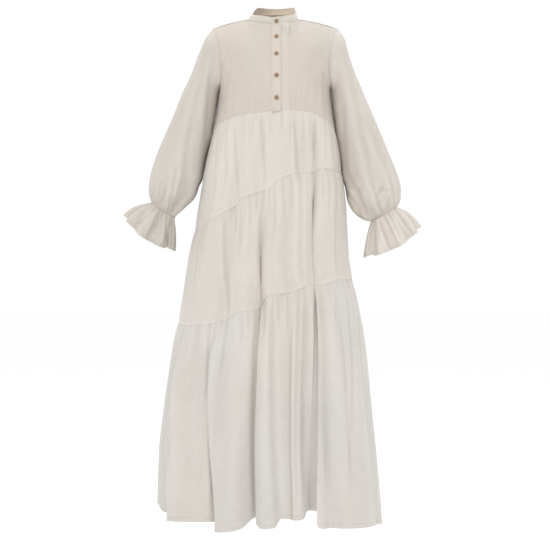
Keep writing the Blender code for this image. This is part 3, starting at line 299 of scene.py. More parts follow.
def bell(distance, width):  # one at nought, falling off on both sides
    return np.exp(-((distance / width) ** 2))


def fading(distance, reach):
    return np.exp(-distance / reach)


def stitchLine(distance, at, width):  # one on the line of stitches, nought beside it
    return np.clip(1 - np.abs(distance - at) / width, 0, 1)


def seamHeight(seam, angle):  # the two gathered skirt seams waver a little
    turned = np.mod(np.asarray(angle, float) + 90, 360) - 90
    height = smoothCurve(turned, seam[:, 0], seam[:, 1])
    if seam is yokeSeam or seam is hemLine:
        return height
    calm = smoothStep(np.minimum(turned + 90, 270 - turned) / seamWaver["calm"])
    return height + seamWaver["depth"] * noiseLine(turned / seamWaver["pitch"], seamWaver["seed"]) * calm


def foldDepth(folds, angle, z):  # each fold is a bell across the angle that grows and fades with height
    turned = np.mod(angle + 90, 360) - 90
    total = np.zeros(np.broadcast(turned, z).shape)
    for start, foot, left, right, depth, begin, full, fade, end in folds:
        rise = np.clip((begin - z) / (begin - full), 0, 1)
        fall = np.clip((z - end) / (fade - end), 0, 1)
        middle = start + (foot - start) * np.clip((begin - z) / (begin - fade), 0, 1)
        away = np.mod(turned - middle + 180, 360) - 180
        across = bell(away, np.where(away < 0, left, right))
        total += depth * across * rise * (2 - rise) * fall * fall * (3 - 2 * fall)
    return total


def seamSwell(angle, z):  # cloth is pinched at each gathered seam and swells out beside it
    swell = np.ones(np.broadcast(angle, z).shape)
    for seam in (yokeSeam, upperSeam, lowerSeam):
        swell = swell * (1 - np.exp(-np.abs(z - seamHeight(seam, angle)) / tierSwell["reach"]))
    return tierSwell["depth"] * swell


def lapFields(angle, z, perDegree):
    # rise outwards, shift along the cloth, shortened hem and painted shade beside each lap, in the mouth of
    # the fold beneath it
    turned = np.mod(angle + 90, 360) - 90
    rise, shift, shorter, tone = (np.zeros(np.broadcast(turned, z).shape) for _ in range(4))
    for start, foot, depth, lap, reach, begin, full, fade, end, step in laps:
        grown = smoothStep((begin - z) / (begin - full)) * smoothStep((z - end) / (fade - end))
        middle = start + (foot - start) * np.clip((begin - z) / (begin - lapShape["footHeight"]), 0, 1)
        s = (np.mod(turned - middle + 180, 360) - 180) * perDegree
        over = smoothStep(s / lapShape["edge"] + 0.5)
        beneath = (1 - over) * np.exp(np.clip(s, None, 0) / reach)
        profile = over * np.exp(-np.clip(s, 0, None) / reach) - lapShape["under"] * beneath
        rise += depth * profile * grown
        shift += lap * profile * grown
        shorter += step * beneath * grown
        # painted shade in the lap's mouth
        shadeReach = lapShape["shadeReach"] + lapShape["shadeWiden"] * step
        darker = 1 + lapShape["shadeDeepen"] * step
        tone += (1 - over) * np.exp(np.clip(s, None, 0) / shadeReach) * grown * darker
    return rise, shift, shorter, tone


def metresPerDegree(angle, halfWidth, depth):
    turn = np.radians(angle)
    return np.radians(1) * np.hypot(halfWidth * np.cos(turn), depth * np.sin(turn))


def bodyPoint(angle, z, extra=0.0):  # oval section at each height, moved out by its folds and lapped
    angle = np.asarray(angle, float)
    z = np.asarray(z, float)
    heights = bodySections[::-1, 0]
    left, right, front, back = (smoothCurve(z, heights, bodySections[::-1, k]) for k in range(1, 5))
    halfWidth, middle = (right - left) / 2, (right + left) / 2
    perDegree = metresPerDegree(angle, halfWidth, 0.8 * (front + back) / 2)
    lapRise, lapShift, *_ = lapFields(angle, z, perDegree)
    extra = extra + lapRise + foldDepth(mainFolds, angle, z)
    angle = angle - lapShift / perDegree
    turn = np.radians(angle)
    ahead = np.sign(np.cos(turn)) * np.abs(np.cos(turn)) ** sectionSquareness
    depth = np.where(ahead > 0, front, back)
    outward = unit(np.stack([np.sin(turn) / halfWidth, -np.cos(turn) / depth], axis=-1))
    out = seamSwell(angle, z) + extra
    return np.stack([middle + halfWidth * np.sin(turn) + out * outward[..., 0],
                     -depth * ahead + out * outward[..., 1], z + 0 * halfWidth], axis=-1)


def noiseLine(x, seed, period=4096):  # smooth random wave between -1 and 1
    table = np.random.default_rng(seed).uniform(-1, 1, 4096)
    i = np.floor(x).astype(int)
    t = smoothStep(x - i)
    return table[i % period % 4096] * (1 - t) + table[(i + 1) % period % 4096] * t


def noiseSheet(x, y, seed, period=512):  # the same over a sheet; x may close on itself
    table = np.random.default_rng(seed).uniform(-1, 1, (512, 512))
    i, j = np.floor(x).astype(int), np.floor(y).astype(int)
    s, t = smoothStep(x - i), smoothStep(y - j)
    i0, i1 = i % period % 512, (i + 1) % period % 512
    j0, j1 = j % 512, (j + 1) % 512
    return ((table[i0, j0] * (1 - s) + table[i1, j0] * s) * (1 - t)
            + (table[i0, j1] * (1 - s) + table[i1, j1] * s) * t)


def gathers(along, away, settings, around=None):  # puckers beside a gathered seam, the finest dying first
    total = 0
    for k, (size, share, reach) in enumerate(gatherSizes):
        cells = 4096
        pitch = settings["pitch"] * size
        if around is not None:
            cells = max(3, int(round(around / pitch)))
            pitch = around / cells
        lean = settings.get("lean", 0.0) * away
        wave = noiseLine((along + lean) / pitch, settings["seed"] + k, cells)
        longer = 1 + 0.5 * noiseLine(along / (pitch * 2.3), settings["seed"] + 40 + k)
        total = total + share * wave * np.exp(-away / (settings["reach"] * reach * longer))
    return settings["depth"] * total * (0.25 + 0.75 * smoothStep(away / 0.007))


def crinkle(u, v, seed, period=None):  # gauze's own uneven surface, longer down the cloth than across
    total = 0
    for k, (wide, tall, depth) in enumerate(crinkleSizes):
        cells = 512
        if period is not None:
            cells = max(3, int(round(period / wide)))
            wide = period / cells
        total = total + depth * noiseSheet(u / wide, v / tall + 7.3 * k, seed + k, cells)
    return total


def paintedTroughShade(extra, closed=False):  # painted shade and light: troughs painted a little deeper in tone than the ridges beside them
    reach = 5
    wide = np.pad(extra, ((0, 0), (reach, reach)), mode="wrap" if closed else "edge")
    mean = sum(wide[:, k:k + extra.shape[1]] for k in range(2 * reach + 1)) / (2 * reach + 1)
    return np.clip((mean - extra) / 0.0011, -1, 1) * 0.26


def creases(points, table, facing):  # soft troughs from point to point in the front view
    total = np.zeros(points.shape[:2])
    x, z = points[..., 0], points[..., 2]
    for x0, z0, x1, z1, width, depth, bow in table:
        dx, dz = x1 - x0, z1 - z0
        length = math.hypot(dx, dz)
        t = np.clip(((x - x0) * dx + (z - z0) * dz) / length ** 2, -0.4, 1.4)
        side = ((x - x0) * dz - (z - z0) * dx) / length + bow * np.sin(np.pi * np.clip(t, 0, 1))
        taper = smoothStep(t * 3.2 + 0.5) * smoothStep((1 - t) * 3.2 + 0.5)
        lip = 0.4 * bell(side - 1.7 * width, 1.2 * width)
        total += depth * taper * (bell(side, width) - lip)
    return total * facing


def gridNormals(points, inside, closed=False):
    if closed:
        wrapped = np.concatenate([points[:, -1:], points, points[:, :1]], axis=1)
        normals = unit(np.cross(np.gradient(wrapped, axis=0), np.gradient(wrapped, axis=1)))[:, 1:-1]
    else:
        normals = unit(np.cross(np.gradient(points, axis=0), np.gradient(points, axis=1)))
    facing = np.sum(normals * (points - inside))
    return -normals if facing < 0 else normals


def clothMap(points, closed=False):  # metres across and down the cloth
    if closed:
        points = np.concatenate([points, points[:, :1]], axis=1)
    across = np.linalg.norm(np.diff(points, axis=1), axis=-1).mean(axis=0)
    down = np.linalg.norm(np.diff(points, axis=0), axis=-1).mean(axis=1)
    return np.meshgrid(np.r_[0, np.cumsum(across)], np.r_[0, np.cumsum(down)])


def turnedEdge(points, normals, where, steps):  # rows or columns past an edge, rolled to the inside
    axis = 0 if where in ("top", "foot") else 1
    index = {"top": 0, "foot": -1, "start": 0, "end": -1}[where]
    edge = np.take(points, [index], axis=axis)
    out = np.take(normals, [index], axis=axis)
    near = np.take(points, [1 if index == 0 else -2], axis=axis)
    past = unit(edge - near)
    added = [edge + past * on - out * deep for on, deep in steps]
    addedNormals = [out] * len(steps)
    if index == 0:
        return (np.concatenate(added[::-1] + [points], axis=axis),
                np.concatenate(addedNormals + [normals], axis=axis))
    return (np.concatenate([points] + added, axis=axis),
            np.concatenate([normals] + addedNormals, axis=axis))


def paddedField(field, edges):  # a value carried out over the turned edges
    return np.pad(field, edges, mode="edge")


def makeShell(name, outer, inner, material, uv, fields, closed=False, facing=None):
    # two sheets joined by rims; rows run down the piece, columns round it
    rows, columns = outer.shape[:2]
    count = rows * columns
    spans = columns if closed else columns - 1
    r, c = np.meshgrid(np.arange(rows - 1), np.arange(spans), indexing="ij")
    nextC = (c + 1) % columns
    here, below = r * columns, (r + 1) * columns
    quads = np.stack([here + c, below + c, below + nextC, here + nextC], axis=-1)
    places = np.stack([(r, c), (r + 1, c), (r + 1, c + 1), (r, c + 1)], axis=-1)
    quads = quads.reshape(-1, 4)
    places = places.reshape(2, -1, 4)
    a, b, d = outer[0, 0], outer[1, 0], outer[0, 1]
    flip = np.dot(np.cross(b - a, d - a), a - inner[0, 0]) < 0
    out = quads[:, ::-1] if flip else quads
    outPlaces = places[:, :, ::-1] if flip else places
    into = (quads if flip else quads[:, ::-1]) + count
    intoPlaces = places if flip else places[:, :, ::-1]
    rims, rimPlaces = [], []

    def rim(first, second, firstPlace, secondPlace, turn):
        face = np.stack([first, second, second + count, first + count], axis=-1)
        place = np.stack([firstPlace, secondPlace, secondPlace, firstPlace], axis=-1)
        rims.append(face[:, ::-1] if turn else face)
        rimPlaces.append(place[:, :, ::-1] if turn else place)

    cc = np.arange(spans)
    for row, turn in ((0, flip), (rows - 1, not flip)):
        place = np.stack([np.full(spans, row), cc])
        rim(row * columns + cc, row * columns + (cc + 1) % columns, place, place + np.array([[0], [1]]), turn)
    if not closed:
        rr = np.arange(rows - 1)
        for col, turn in ((0, not flip), (columns - 1, flip)):
            place = np.stack([rr, np.full(rows - 1, col)])
            rim(rr * columns + col, (rr + 1) * columns + col, place, place + np.array([[1], [0]]), turn)
    faces = np.concatenate([out, into] + rims)
    facePlaces = np.concatenate([outPlaces, intoPlaces] + rimPlaces, axis=1)
    mesh = bpy.data.meshes.new(name)
    mesh.vertices.add(2 * count)
    vertices = np.concatenate([outer.reshape(-1, 3), inner.reshape(-1, 3)])
    mesh.vertices.foreach_set("co", vertices.astype(np.float32).ravel())
    mesh.loops.add(faces.size)
    mesh.loops.foreach_set("vertex_index", faces.astype(np.int32).ravel())
    mesh.polygons.add(len(faces))
    mesh.polygons.foreach_set("loop_start", np.arange(0, faces.size, 4, dtype=np.int32))
    mesh.update(calc_edges=True)
    uLine, vLine = uv
    uvData = np.stack([uLine[facePlaces[0], facePlaces[1]], vLine[facePlaces[0], facePlaces[1]]], axis=-1)
    mesh.uv_layers.new(name="cloth").data.foreach_set("uv", uvData.astype(np.float32).ravel())
    for label, field in fields.items():
        values = np.tile(field.reshape(-1), 2).astype(np.float32)
        mesh.attributes.new(label, "FLOAT", "POINT").data.foreach_set("value", values)
    mesh.validate()
    mesh.shade_smooth()
    mesh.set_sharp_from_angle(angle=math.radians(60))
    mesh.materials.append(material)
    if facing is not None:  # another look on the inner sheet
        mesh.materials.append(facing)
        which = np.zeros(len(mesh.polygons), dtype=np.int32)
        which[len(out):2 * len(out)] = 1
        mesh.polygons.foreach_set("material_index", which)
    piece = bpy.data.objects.new(name, mesh)
    bpy.context.scene.collection.objects.link(piece)
    return piece


def finishPiece(piece, node):
    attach(piece, "root")
    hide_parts(node)
    area = sum(p.area for p in piece.data.polygons) / 2
    print(f"{piece.name}: {len(piece.data.polygons) * 2} triangles, {area:.4f} square metres")
    return piece


# Materials

gauzeLook = {
    "bodice": ((0.580, 0.534, 0.476), (0.470, 0.424, 0.370)),
    "sleeve": ((0.590, 0.554, 0.502), (0.470, 0.434, 0.386)),
    "skirt": ((0.625, 0.590, 0.545), (0.520, 0.484, 0.438)),
    "hemTier": ((0.612, 0.583, 0.546), (0.505, 0.478, 0.442)),
    "trim": ((0.605, 0.556, 0.494), (0.510, 0.460, 0.400)),
    "ruffle": ((0.665, 0.625, 0.572), (0.500, 0.468, 0.424)),
    # facing: the collar's inner sheet, the same gauze in a paler, warmer tone, painted light on the collar's
    # shaded inside
    "facing": ((0.860, 0.740, 0.600), (0.760, 0.630, 0.490)),
    # thread: the stitches' own thread tone, set a little deeper as painted shade round each stitch
    "thread": (0.560, 0.520, 0.460),
    "pinker": (1.010, 0.995, 0.990), "greener": (0.993, 1.001, 1.001),
    "ridges": (210, 42, 1), "soft": (55, 16, 1), "slubs": (45, 420, 1), "thickSlubs": (17, 150, 1),
    "cloudTone": (0.30, 0.70, 0.0, 0.35), "ridgeShade": (0.35, 0.70, 0.20, 0.0),
    "thickTone": (0.35, 0.65, -0.04, 0.10), "drift": (9, 9, 2.5), "clouds": 5.0,
    "heights": {"soft": 1.6, "slubs": 0.35, "weave": 0.22, "threads": 0.5},
    "bumpStrength": 0.55, "bumpDistance": 0.0007, "roughness": (0.80, 0.96),
    "weavePitch": 0.0008, "stitchLength": 0.0032}


def newMaterial(name):
    material = bpy.data.materials.new(name)
    material.use_nodes = True
    return material, material.node_tree


def addNode(tree, kind, inputs=None, **settings):
    node = tree.nodes.new(kind)
    for key, value in settings.items():
        setattr(node, key, value)
    setInputs(tree, node, inputs or {})
    return node


def setInputs(tree, node, inputs):
    for key, value in inputs.items():
        if isinstance(value, bpy.types.NodeSocket):
            tree.links.new(value, node.inputs[key])
        else:
            node.inputs[key].default_value = value


def objectPlace(tree):
    return addNode(tree, "ShaderNodeTexCoord").outputs["Object"]


def noiseNode(tree, vector, scale, detail, rough=0.5, distortion=0.0):
    inputs = {"Vector": vector, "Scale": scale, "Detail": detail, "Roughness": rough,
              "Distortion": distortion}
    return addNode(tree, "ShaderNodeTexNoise", inputs).outputs["Fac"]


def stretchedNoise(tree, vector, scale, detail, rough=0.5, distortion=0.0):
    stretched = addNode(tree, "ShaderNodeMapping", {"Vector": vector, "Scale": scale})
    return noiseNode(tree, stretched.outputs[0], 1.0, detail, rough, distortion)


def ranged(tree, value, fromMin, fromMax, toMin=0.0, toMax=1.0):
    inputs = {"Value": value, "From Min": fromMin, "From Max": fromMax, "To Min": toMin, "To Max": toMax}
    return addNode(tree, "ShaderNodeMapRange", inputs).outputs[0]


def combined(tree, operation, first, second, clamp=False):
    return addNode(tree, "ShaderNodeMath", {0: first, 1: second}, operation=operation,
                   use_clamp=clamp).outputs[0]


def mixedTone(tree, factor, first, second):
    return addNode(tree, "ShaderNodeMix", {"Factor": factor, "A": first, "B": second},
                   data_type="RGBA").outputs["Result"]


def clothField(tree, label):
    return addNode(tree, "ShaderNodeAttribute", attribute_name=label).outputs["Fac"]


def gauzeMaterial(name, tones):
    # crinkled gauze: fine ridges down the cloth with painted shade in their troughs, a plain weave, darker
    # seam lines that are painted shade, and dashed stitches
    material, tree = newMaterial(name)
    uv = addNode(tree, "ShaderNodeUVMap", uv_map="cloth").outputs["UV"]
    place = objectPlace(tree)
    ridges = stretchedNoise(tree, uv, gauzeLook["ridges"], 3.0, 0.6, 0.3)
    soft = stretchedNoise(tree, uv, gauzeLook["soft"], 2.0)
    slubs = stretchedNoise(tree, uv, gauzeLook["slubs"], 2.0)
    thick = stretchedNoise(tree, uv, gauzeLook["thickSlubs"], 2.0)
    clouds = noiseNode(tree, place, gauzeLook["clouds"], 2.0)
    wave = {"Vector": uv, "Scale": 0.314 / gauzeLook["weavePitch"], "Distortion": 0.6, "Detail": 1.0}
    weave = combined(tree, "MULTIPLY", *(
        addNode(tree, "ShaderNodeTexWave", wave, wave_type="BANDS", bands_direction=direction).outputs["Fac"]
        for direction in ("X", "Y")))
    # painted shade in the crinkle's troughs: the ridges' bump noise also darkens the colour where it is low;
    # the clouds and thick slubs are the gauze's own uneven tone
    shade = combined(tree, "ADD", ranged(tree, clouds, *gauzeLook["cloudTone"]),
                     ranged(tree, ridges, *gauzeLook["ridgeShade"]))
    shade = combined(tree, "ADD", shade, ranged(tree, thick, *gauzeLook["thickTone"]), True)
    # the seam field is mostly painted light and shade: painted shade along seams, creases, troughs and laps,
    # and painted highlights on rolled edges and gather ridges; the buttonholes and the paler under-lap are
    # the cloth's own tone
    deeper = combined(tree, "ADD", shade, clothField(tree, "seam"), True)
    drift = ranged(tree, stretchedNoise(tree, place, gauzeLook["drift"], 1.0), 0.40, 0.60)
    tinted = []
    for tone in tones:
        ends = [(*(t * k for t, k in zip(tone, gauzeLook[tint])), 1) for tint in ("pinker", "greener")]
        tinted.append(mixedTone(tree, drift, *ends))
    base = mixedTone(tree, deeper, *tinted)
    split = addNode(tree, "ShaderNodeSeparateXYZ", {"Vector": uv})
    # stitches: real thread, coloured partly as painted shade round each stitch
    dashes = []
    for label, way in (("stitch", "X"), ("stitchDown", "Y")):
        swing = combined(tree, "MULTIPLY", split.outputs[way], 2 * math.pi / gauzeLook["stitchLength"])
        dash = addNode(tree, "ShaderNodeMath", {0: swing}, operation="SINE").outputs[0]
        dashes.append(combined(tree, "MULTIPLY", ranged(tree, dash, -0.5, -0.2),
                               ranged(tree, clothField(tree, label), 0.45, 0.70)))
    threads = combined(tree, "MAXIMUM", *dashes)
    parts = {"soft": soft, "slubs": slubs, "weave": weave, "threads": threads}
    heights = ridges
    for part, share in gauzeLook["heights"].items():
        heights = combined(tree, "ADD", heights, combined(tree, "MULTIPLY", parts[part], share))
    bump = addNode(tree, "ShaderNodeBump", {"Height": heights, "Strength": gauzeLook["bumpStrength"],
                                            "Distance": gauzeLook["bumpDistance"]})
    setInputs(tree, tree.nodes["Principled BSDF"], {
        "Base Color": mixedTone(tree, threads, base, (*gauzeLook["thread"], 1)),
        "Normal": bump.outputs["Normal"],
        "Roughness": ranged(tree, ridges, 0.0, 1.0, *gauzeLook["roughness"]),
        "Specular IOR Level": 0.25, "Sheen Weight": 0.18, "Sheen Roughness": 0.55})
    return material


gauzeBodice = gauzeMaterial("gauzeBodice", gauzeLook["bodice"])
gauzeSleeve = gauzeMaterial("gauzeSleeve", gauzeLook["sleeve"])
gauzeSkirt = gauzeMaterial("gauzeSkirt", gauzeLook["skirt"])
gauzeHemTier = gauzeMaterial("gauzeHemTier", gauzeLook["hemTier"])
gauzeTrim = gauzeMaterial("gauzeTrim", gauzeLook["trim"])
gauzeRuffle = gauzeMaterial("gauzeRuffle", gauzeLook["ruffle"])
# the collar's inner sheet: painted light, a paler and warmer copy of the collar gauze where its inside lies
# in shade
collarInnerPaintedLight = gauzeMaterial("collarInnerPaintedLight", gauzeLook["facing"])

woodLook = {"light": (0.36, 0.235, 0.12), "dark": (0.13, 0.075, 0.038)}


def toneRamp(tree, value, stops):  # a colour for each place on the ramp
    ramp = addNode(tree, "ShaderNodeValToRGB", {"Fac": value})
    for element, (position, tone) in zip(ramp.color_ramp.elements, stops):
        element.position = position
        element.color = (*tone, 1)
    return ramp.outputs["Color"]


def woodMaterial():  # turned wood: streaks along the grain, satin
    material, tree = newMaterial("buttonWood")
    along = addNode(tree, "ShaderNodeMapping",
                    {"Vector": objectPlace(tree), "Rotation": (0, 0.5, 0), "Scale": (900, 300, 160)})
    streaks = noiseNode(tree, along.outputs[0], 1.0, 4.0, 0.6, 0.6)
    bump = addNode(tree, "ShaderNodeBump", {"Height": streaks, "Strength": 0.25, "Distance": 0.0002})
    setInputs(tree, tree.nodes["Principled BSDF"], {
        "Base Color": toneRamp(tree, streaks, ((0.35, woodLook["dark"]), (0.65, woodLook["light"]))),
        "Normal": bump.outputs["Normal"], "Roughness": ranged(tree, streaks, 0.0, 1.0, 0.30, 0.50)})
    return material


def threadMaterial(name, tone, rough):
    material, tree = newMaterial(name)
    fibres = noiseNode(tree, objectPlace(tree), 2500.0, 2.0)
    stops = ((0.0, [0.8 * t for t in tone]), (1.0, tone))
    setInputs(tree, tree.nodes["Principled BSDF"],
              {"Base Color": toneRamp(tree, fibres, stops), "Roughness": rough})
    return material


buttonWood = woodMaterial()
buttonThread = threadMaterial("buttonThread", (0.62, 0.57, 0.49), 0.8)
buttonHolePaintedShade = threadMaterial("buttonHolePaintedShade", (0.05, 0.035, 0.025), 0.9)
print("materials made")

# Skirt tiers

splitAngle = 2.0
placketAngles = {"right": -2.4, "left": 6.2}
fineAngle = 36.0
fineStepsLeft, fineStepsRight, sideSteps, backSteps = 16, 14, 12, 28
frontLeftAngles = np.r_[np.linspace(-90, -fineAngle, sideSteps + 1)[:-1],
                        np.linspace(-fineAngle, placketAngles["right"], fineStepsLeft - 1)[:-1],
                        np.linspace(placketAngles["right"], splitAngle, 3)]
frontRightAngles = np.r_[np.linspace(splitAngle, placketAngles["left"], 3)[:-1],
                         np.linspace(placketAngles["left"], fineAngle, fineStepsRight - 1)[:-1],
                         np.linspace(fineAngle, 90, sideSteps + 1)]
backRightAngles = np.r_[np.linspace(90, 180 - fineAngle, sideSteps + 1)[:-1],
                        np.linspace(180 - fineAngle, 180, backSteps // 2 + 1)]
frontAngles = np.r_[frontLeftAngles, frontRightAngles[1:]]
backAngles = np.r_[backRightAngles, (360 - backRightAngles[::-1])[1:]]

tiers = {
    "Tier1Front": {
        "node": "tier_1_front", "angles": frontAngles, "upper": yokeSeam, "lower": upperSeam,
        "columns": 230, "rows": 58, "tone": -0.15, "flat": (0.62, 0.25),
        "gathers": {"pitch": 0.0085, "depth": 0.0019, "reach": 0.045, "seed": 11}},
    "Tier1Back": {
        "node": "tier_1_back", "angles": backAngles, "upper": yokeSeam, "lower": upperSeam,
        "columns": 200, "rows": 52, "tone": -0.15, "flat": (0.62, 0.24),
        "gathers": {"pitch": 0.0085, "depth": 0.0019, "reach": 0.045, "seed": 12}},
    "Tier2Front": {
        "node": "tier_2_front", "angles": frontAngles, "upper": upperSeam, "lower": lowerSeam,
        "columns": 240, "rows": 82, "flat": (0.86, 0.33),
        "gathers": {"pitch": 0.0095, "depth": 0.0024, "reach": 0.055, "seed": 13}},
    "Tier2Back": {
        "node": "tier_2_back", "angles": backAngles, "upper": upperSeam, "lower": lowerSeam,
        "columns": 210, "rows": 74, "flat": (0.80, 0.31),
        "gathers": {"pitch": 0.0095, "depth": 0.0024, "reach": 0.055, "seed": 14}},
    "Tier3Front": {
        "node": "tier_3_front", "angles": frontAngles, "upper": lowerSeam, "lower": hemLine,
        "columns": 330, "rows": 128, "hem": True, "flat": (1.20, 0.65),
        "gathers": {"pitch": 0.0105, "depth": 0.0028, "reach": 0.065, "seed": 15}},
    "Tier3Back": {
        "node": "tier_3_back", "angles": backAngles, "upper": lowerSeam, "lower": hemLine,
        "columns": 240, "rows": 116, "hem": True, "flat": (1.16, 0.64),
        "gathers": {"pitch": 0.0105, "depth": 0.0028, "reach": 0.065, "seed": 16}}}
hemLook = {"turn": 0.011, "dent": 0.0006, "swell": 0.0004}
seamRoll = {"depth": 0.0007, "width": 0.0040}
# painted light and shade on the tiers: seam, a painted shade line under each gathered seam; ticks and
# lighter, painted shade and light on the gathers' puckers; hem, painted shade in the hem's dent; foot, a
# painted highlight on the rolled lower edge; ends, painted shade where the panel's sides turn in
tierPaintedLightAndShade = {"seam": 0.12, "ticks": 0.50, "lighter": 0.20, "hem": 0.25, "foot": 0.60, "ends": 0.25}
pucker = {"hemPitch": 0.009, "hemDepth": 0.0005, "footPitch": 0.007, "footDepth": 0.0009}

# Turned edges: how far on and how deep each added row or column lies
edgeRolls = {
    "tierTop": [(0.0006, 0.0006), (0.0040, 0.0022)], "tierFoot": [(0.0, 0.0010)],
    "tierSide": [(0.0, 0.0025)], "bodiceTop": [(0.0004, 0.0018)], "bodiceFoot": [(0.0, 0.0014)],
    "armhole": [(0.0004, 0.0020)], "farArmhole": [(0.0, 0.0020)], "collarFoot": [(0.0, 0.0012)],
    "sleeveTop": [(0.0006, 0.0007), (0.0034, 0.0026)], "sleeveFoot": [(0.0, 0.0012)]}


def lapColumns(angles, count):  # columns closer together near the laps
    fine = np.linspace(angles[0], angles[-1], 2000)
    crowd = np.ones(2000)
    for start, foot, *_ in laps:
        for at in (start, (start + foot) / 2, foot):
            crowd += 1.1 * bell(fine - at, 1.8)
    travelled = np.r_[0, np.cumsum((crowd[1:] + crowd[:-1]) / 2)]
    return np.interp(np.linspace(0, travelled[-1], count), travelled, fine)


def tierPiece(name, settings):
    # panel between two seams: angle across, height down, with folds, gathers and crinkle moved outwards
    angles = lapColumns(settings["angles"], settings["columns"])
    hem = settings.get("hem", False)
    v = denseEnds(settings["rows"], 0.72)[:, None]
    top = seamHeight(settings["upper"], angles)[None]
    foot = seamHeight(settings["lower"], angles)[None]
    perDegree = metresPerDegree(angles, 0.33 if hem else 0.26, 0.17)
    if hem:
        foot = foot + lapFields(angles, foot[0], perDegree)[2][None]
    z = top + (foot - top) * v
    grid = np.broadcast_to(angles, z.shape)
    lapPaintedShade = lapFields(grid, z, perDegree)[3]
    plain = bodyPoint(grid, z)
    acrossTop = np.r_[0, np.cumsum(np.linalg.norm(np.diff(plain[0], axis=0), axis=1))][None]
    u, down = clothMap(plain)
    below = top - z
    above = z - foot
    extra = foldDepth(smallFolds, grid, z)
    extra += gathers(acrossTop + 0 * below, below, settings["gathers"])
    extra += crinkle(u, down, settings["gathers"]["seed"] * 7) * smoothStep(below / 0.02)
    ends = smoothStep(np.minimum(grid - angles[0], angles[-1] - grid) / 2.5)
    if hem:
        extra += hemLook["swell"] * (1 - smoothStep(above / hemLook["turn"]))
        extra -= hemLook["dent"] * bell(above - hemLook["turn"], 0.0022)
        uneven = noiseLine(u / pucker["hemPitch"], settings["gathers"]["seed"] + 90)
        extra += pucker["hemDepth"] * uneven * bell(above - hemLook["turn"], 0.006)
    else:
        uneven = noiseLine(u / pucker["footPitch"], settings["gathers"]["seed"] + 90)
        rolled = seamRoll["depth"] * bell(above, seamRoll["width"])
        extra += pucker["footDepth"] * uneven * fading(above, 0.009) + rolled
    extra = extra * (0.15 + 0.85 * ends) - 0.0006 * (1 - ends)
    outer = bodyPoint(grid, z, extra)
    normals = gridNormals(outer, outer * (0, 0, 1))
    # painted shade and painted light in short ticks under the seam, where the gathers' puckers fall into
    # shade and catch light
    tickPitch = settings["gathers"]["pitch"] * 0.55
    ticks = noiseLine(acrossTop / tickPitch, settings["gathers"]["seed"] + 60) + 0 * below
    darker, lighter = np.clip(ticks, 0, 1), np.clip(-ticks, 0, 1)
    seam = tierPaintedLightAndShade["seam"] * bell(below, 0.0015) + tierPaintedLightAndShade["ticks"] * darker * fading(below, 0.012)
    seam = seam - tierPaintedLightAndShade["lighter"] * lighter * fading(below, 0.010) + paintedTroughShade(extra)
    # painted shade beside the laps, then the piece's own tone
    seam = seam + lapShape["tone"] * lapPaintedShade + settings.get("tone", 0.0)
    stitch = 0 * seam
    if hem:
        # painted shade in the hem's dent at its stitch line
        seam = seam + tierPaintedLightAndShade["hem"] * bell(above - hemLook["turn"], 0.0022)
        stitch = stitchLine(above, hemLook["turn"], 0.0018)
    else:
        # a painted highlight on the rolled lower edge
        seam = seam - tierPaintedLightAndShade["foot"] * bell(above, 0.0050)
    # painted shade where the panel's ends turn in at the side seams
    seam = seam + tierPaintedLightAndShade["ends"] * (1 - ends) ** 3
    outer, normals = turnedEdge(outer, normals, "top", edgeRolls["tierTop"])
    pads = [2, 0]
    if not hem:
        outer, normals = turnedEdge(outer, normals, "foot", edgeRolls["tierFoot"])
        pads[1] = 1
    outer, normals = turnedEdge(outer, normals, "start", edgeRolls["tierSide"])
    outer, normals = turnedEdge(outer, normals, "end", edgeRolls["tierSide"])
    edges = (tuple(pads), (1, 1))
    seam, stitch, above = (paddedField(field, edges) for field in (seam, stitch, above))
    thickness = cloth["thickness"] + 0 * seam
    if hem:
        turned = 1 - smoothStep(above / hemLook["turn"])
        thickness = thickness + (cloth["hemThickness"] - cloth["thickness"]) * turned
    inner = outer - normals * thickness[..., None]
    material = gauzeHemTier if hem else gauzeSkirt
    fields = {"seam": seam, "stitch": stitch, "stitchDown": 0 * seam}
    piece = makeShell(f"gauze{name}", outer, inner, material, clothMap(outer), fields)
    return finishPiece(piece, settings["node"])


for name, settings in tiers.items():
    settings["piece"] = tierPiece(name, settings)
print("skirt tiers made")

# Bodice

neck = {"middleX": -0.006, "middleY": -0.008, "halfWidth": 0.0745, "halfDepth": 0.060, "topHalfWidth": 0.0625,
        "topHalfDepth": 0.055, "splitAngle": 7.0, "placketAngles": {"right": -3.1, "left": 17.6}}
collarHeights = np.array([  # angle, foot seam, top edge
    (0, -0.024, -0.0045), (45, -0.014, 0.0050), (75, -0.004, 0.0120), (90, 0.001, 0.0180),
    (98, 0.005, 0.0290), (107, 0.010, 0.0380), (125, 0.017, 0.0415), (150, 0.022, 0.0425),
    (180, 0.024, 0.0425)])
shoulder = {"x": 0.1855, "z": -0.025, "crown": 0.003}
bodiceShape = {"chestRound": {"front": 0.52, "back": 0.34}, "sidePull": 2.0, "middlePull": 4.0, "relax": 18,
               "armholeRows": 7, "sideSeamRows": 3, "placketX": 0.003}
centreFront = [(-0.0880, -0.0600), (-0.1100, -0.1020), (-0.1290, -0.1500), (-0.1390, -0.2000),
               (-0.1425, -0.2500)]  # y and z down the middle
centreBack = [(0.0680, -0.0100), (0.0860, -0.0600), (0.1010, -0.1200), (0.1090, -0.1900), (0.1110, -0.2600)]
armholes = {
    "front": [(0.1855, 0.000, -0.025), (0.1740, -0.036, -0.052), (0.1640, -0.066, -0.100),
              (0.1610, -0.074, -0.145), (0.1635, -0.056, -0.190), (0.1700, 0.000, -0.215)],
    "back": [(0.1855, 0.000, -0.025), (0.1780, 0.034, -0.050), (0.1700, 0.060, -0.100),
             (0.1670, 0.068, -0.150), (0.1670, 0.050, -0.195), (0.1700, 0.000, -0.215)]}


def sideSign(side):
    return -1.0 if side == "right" else 1.0


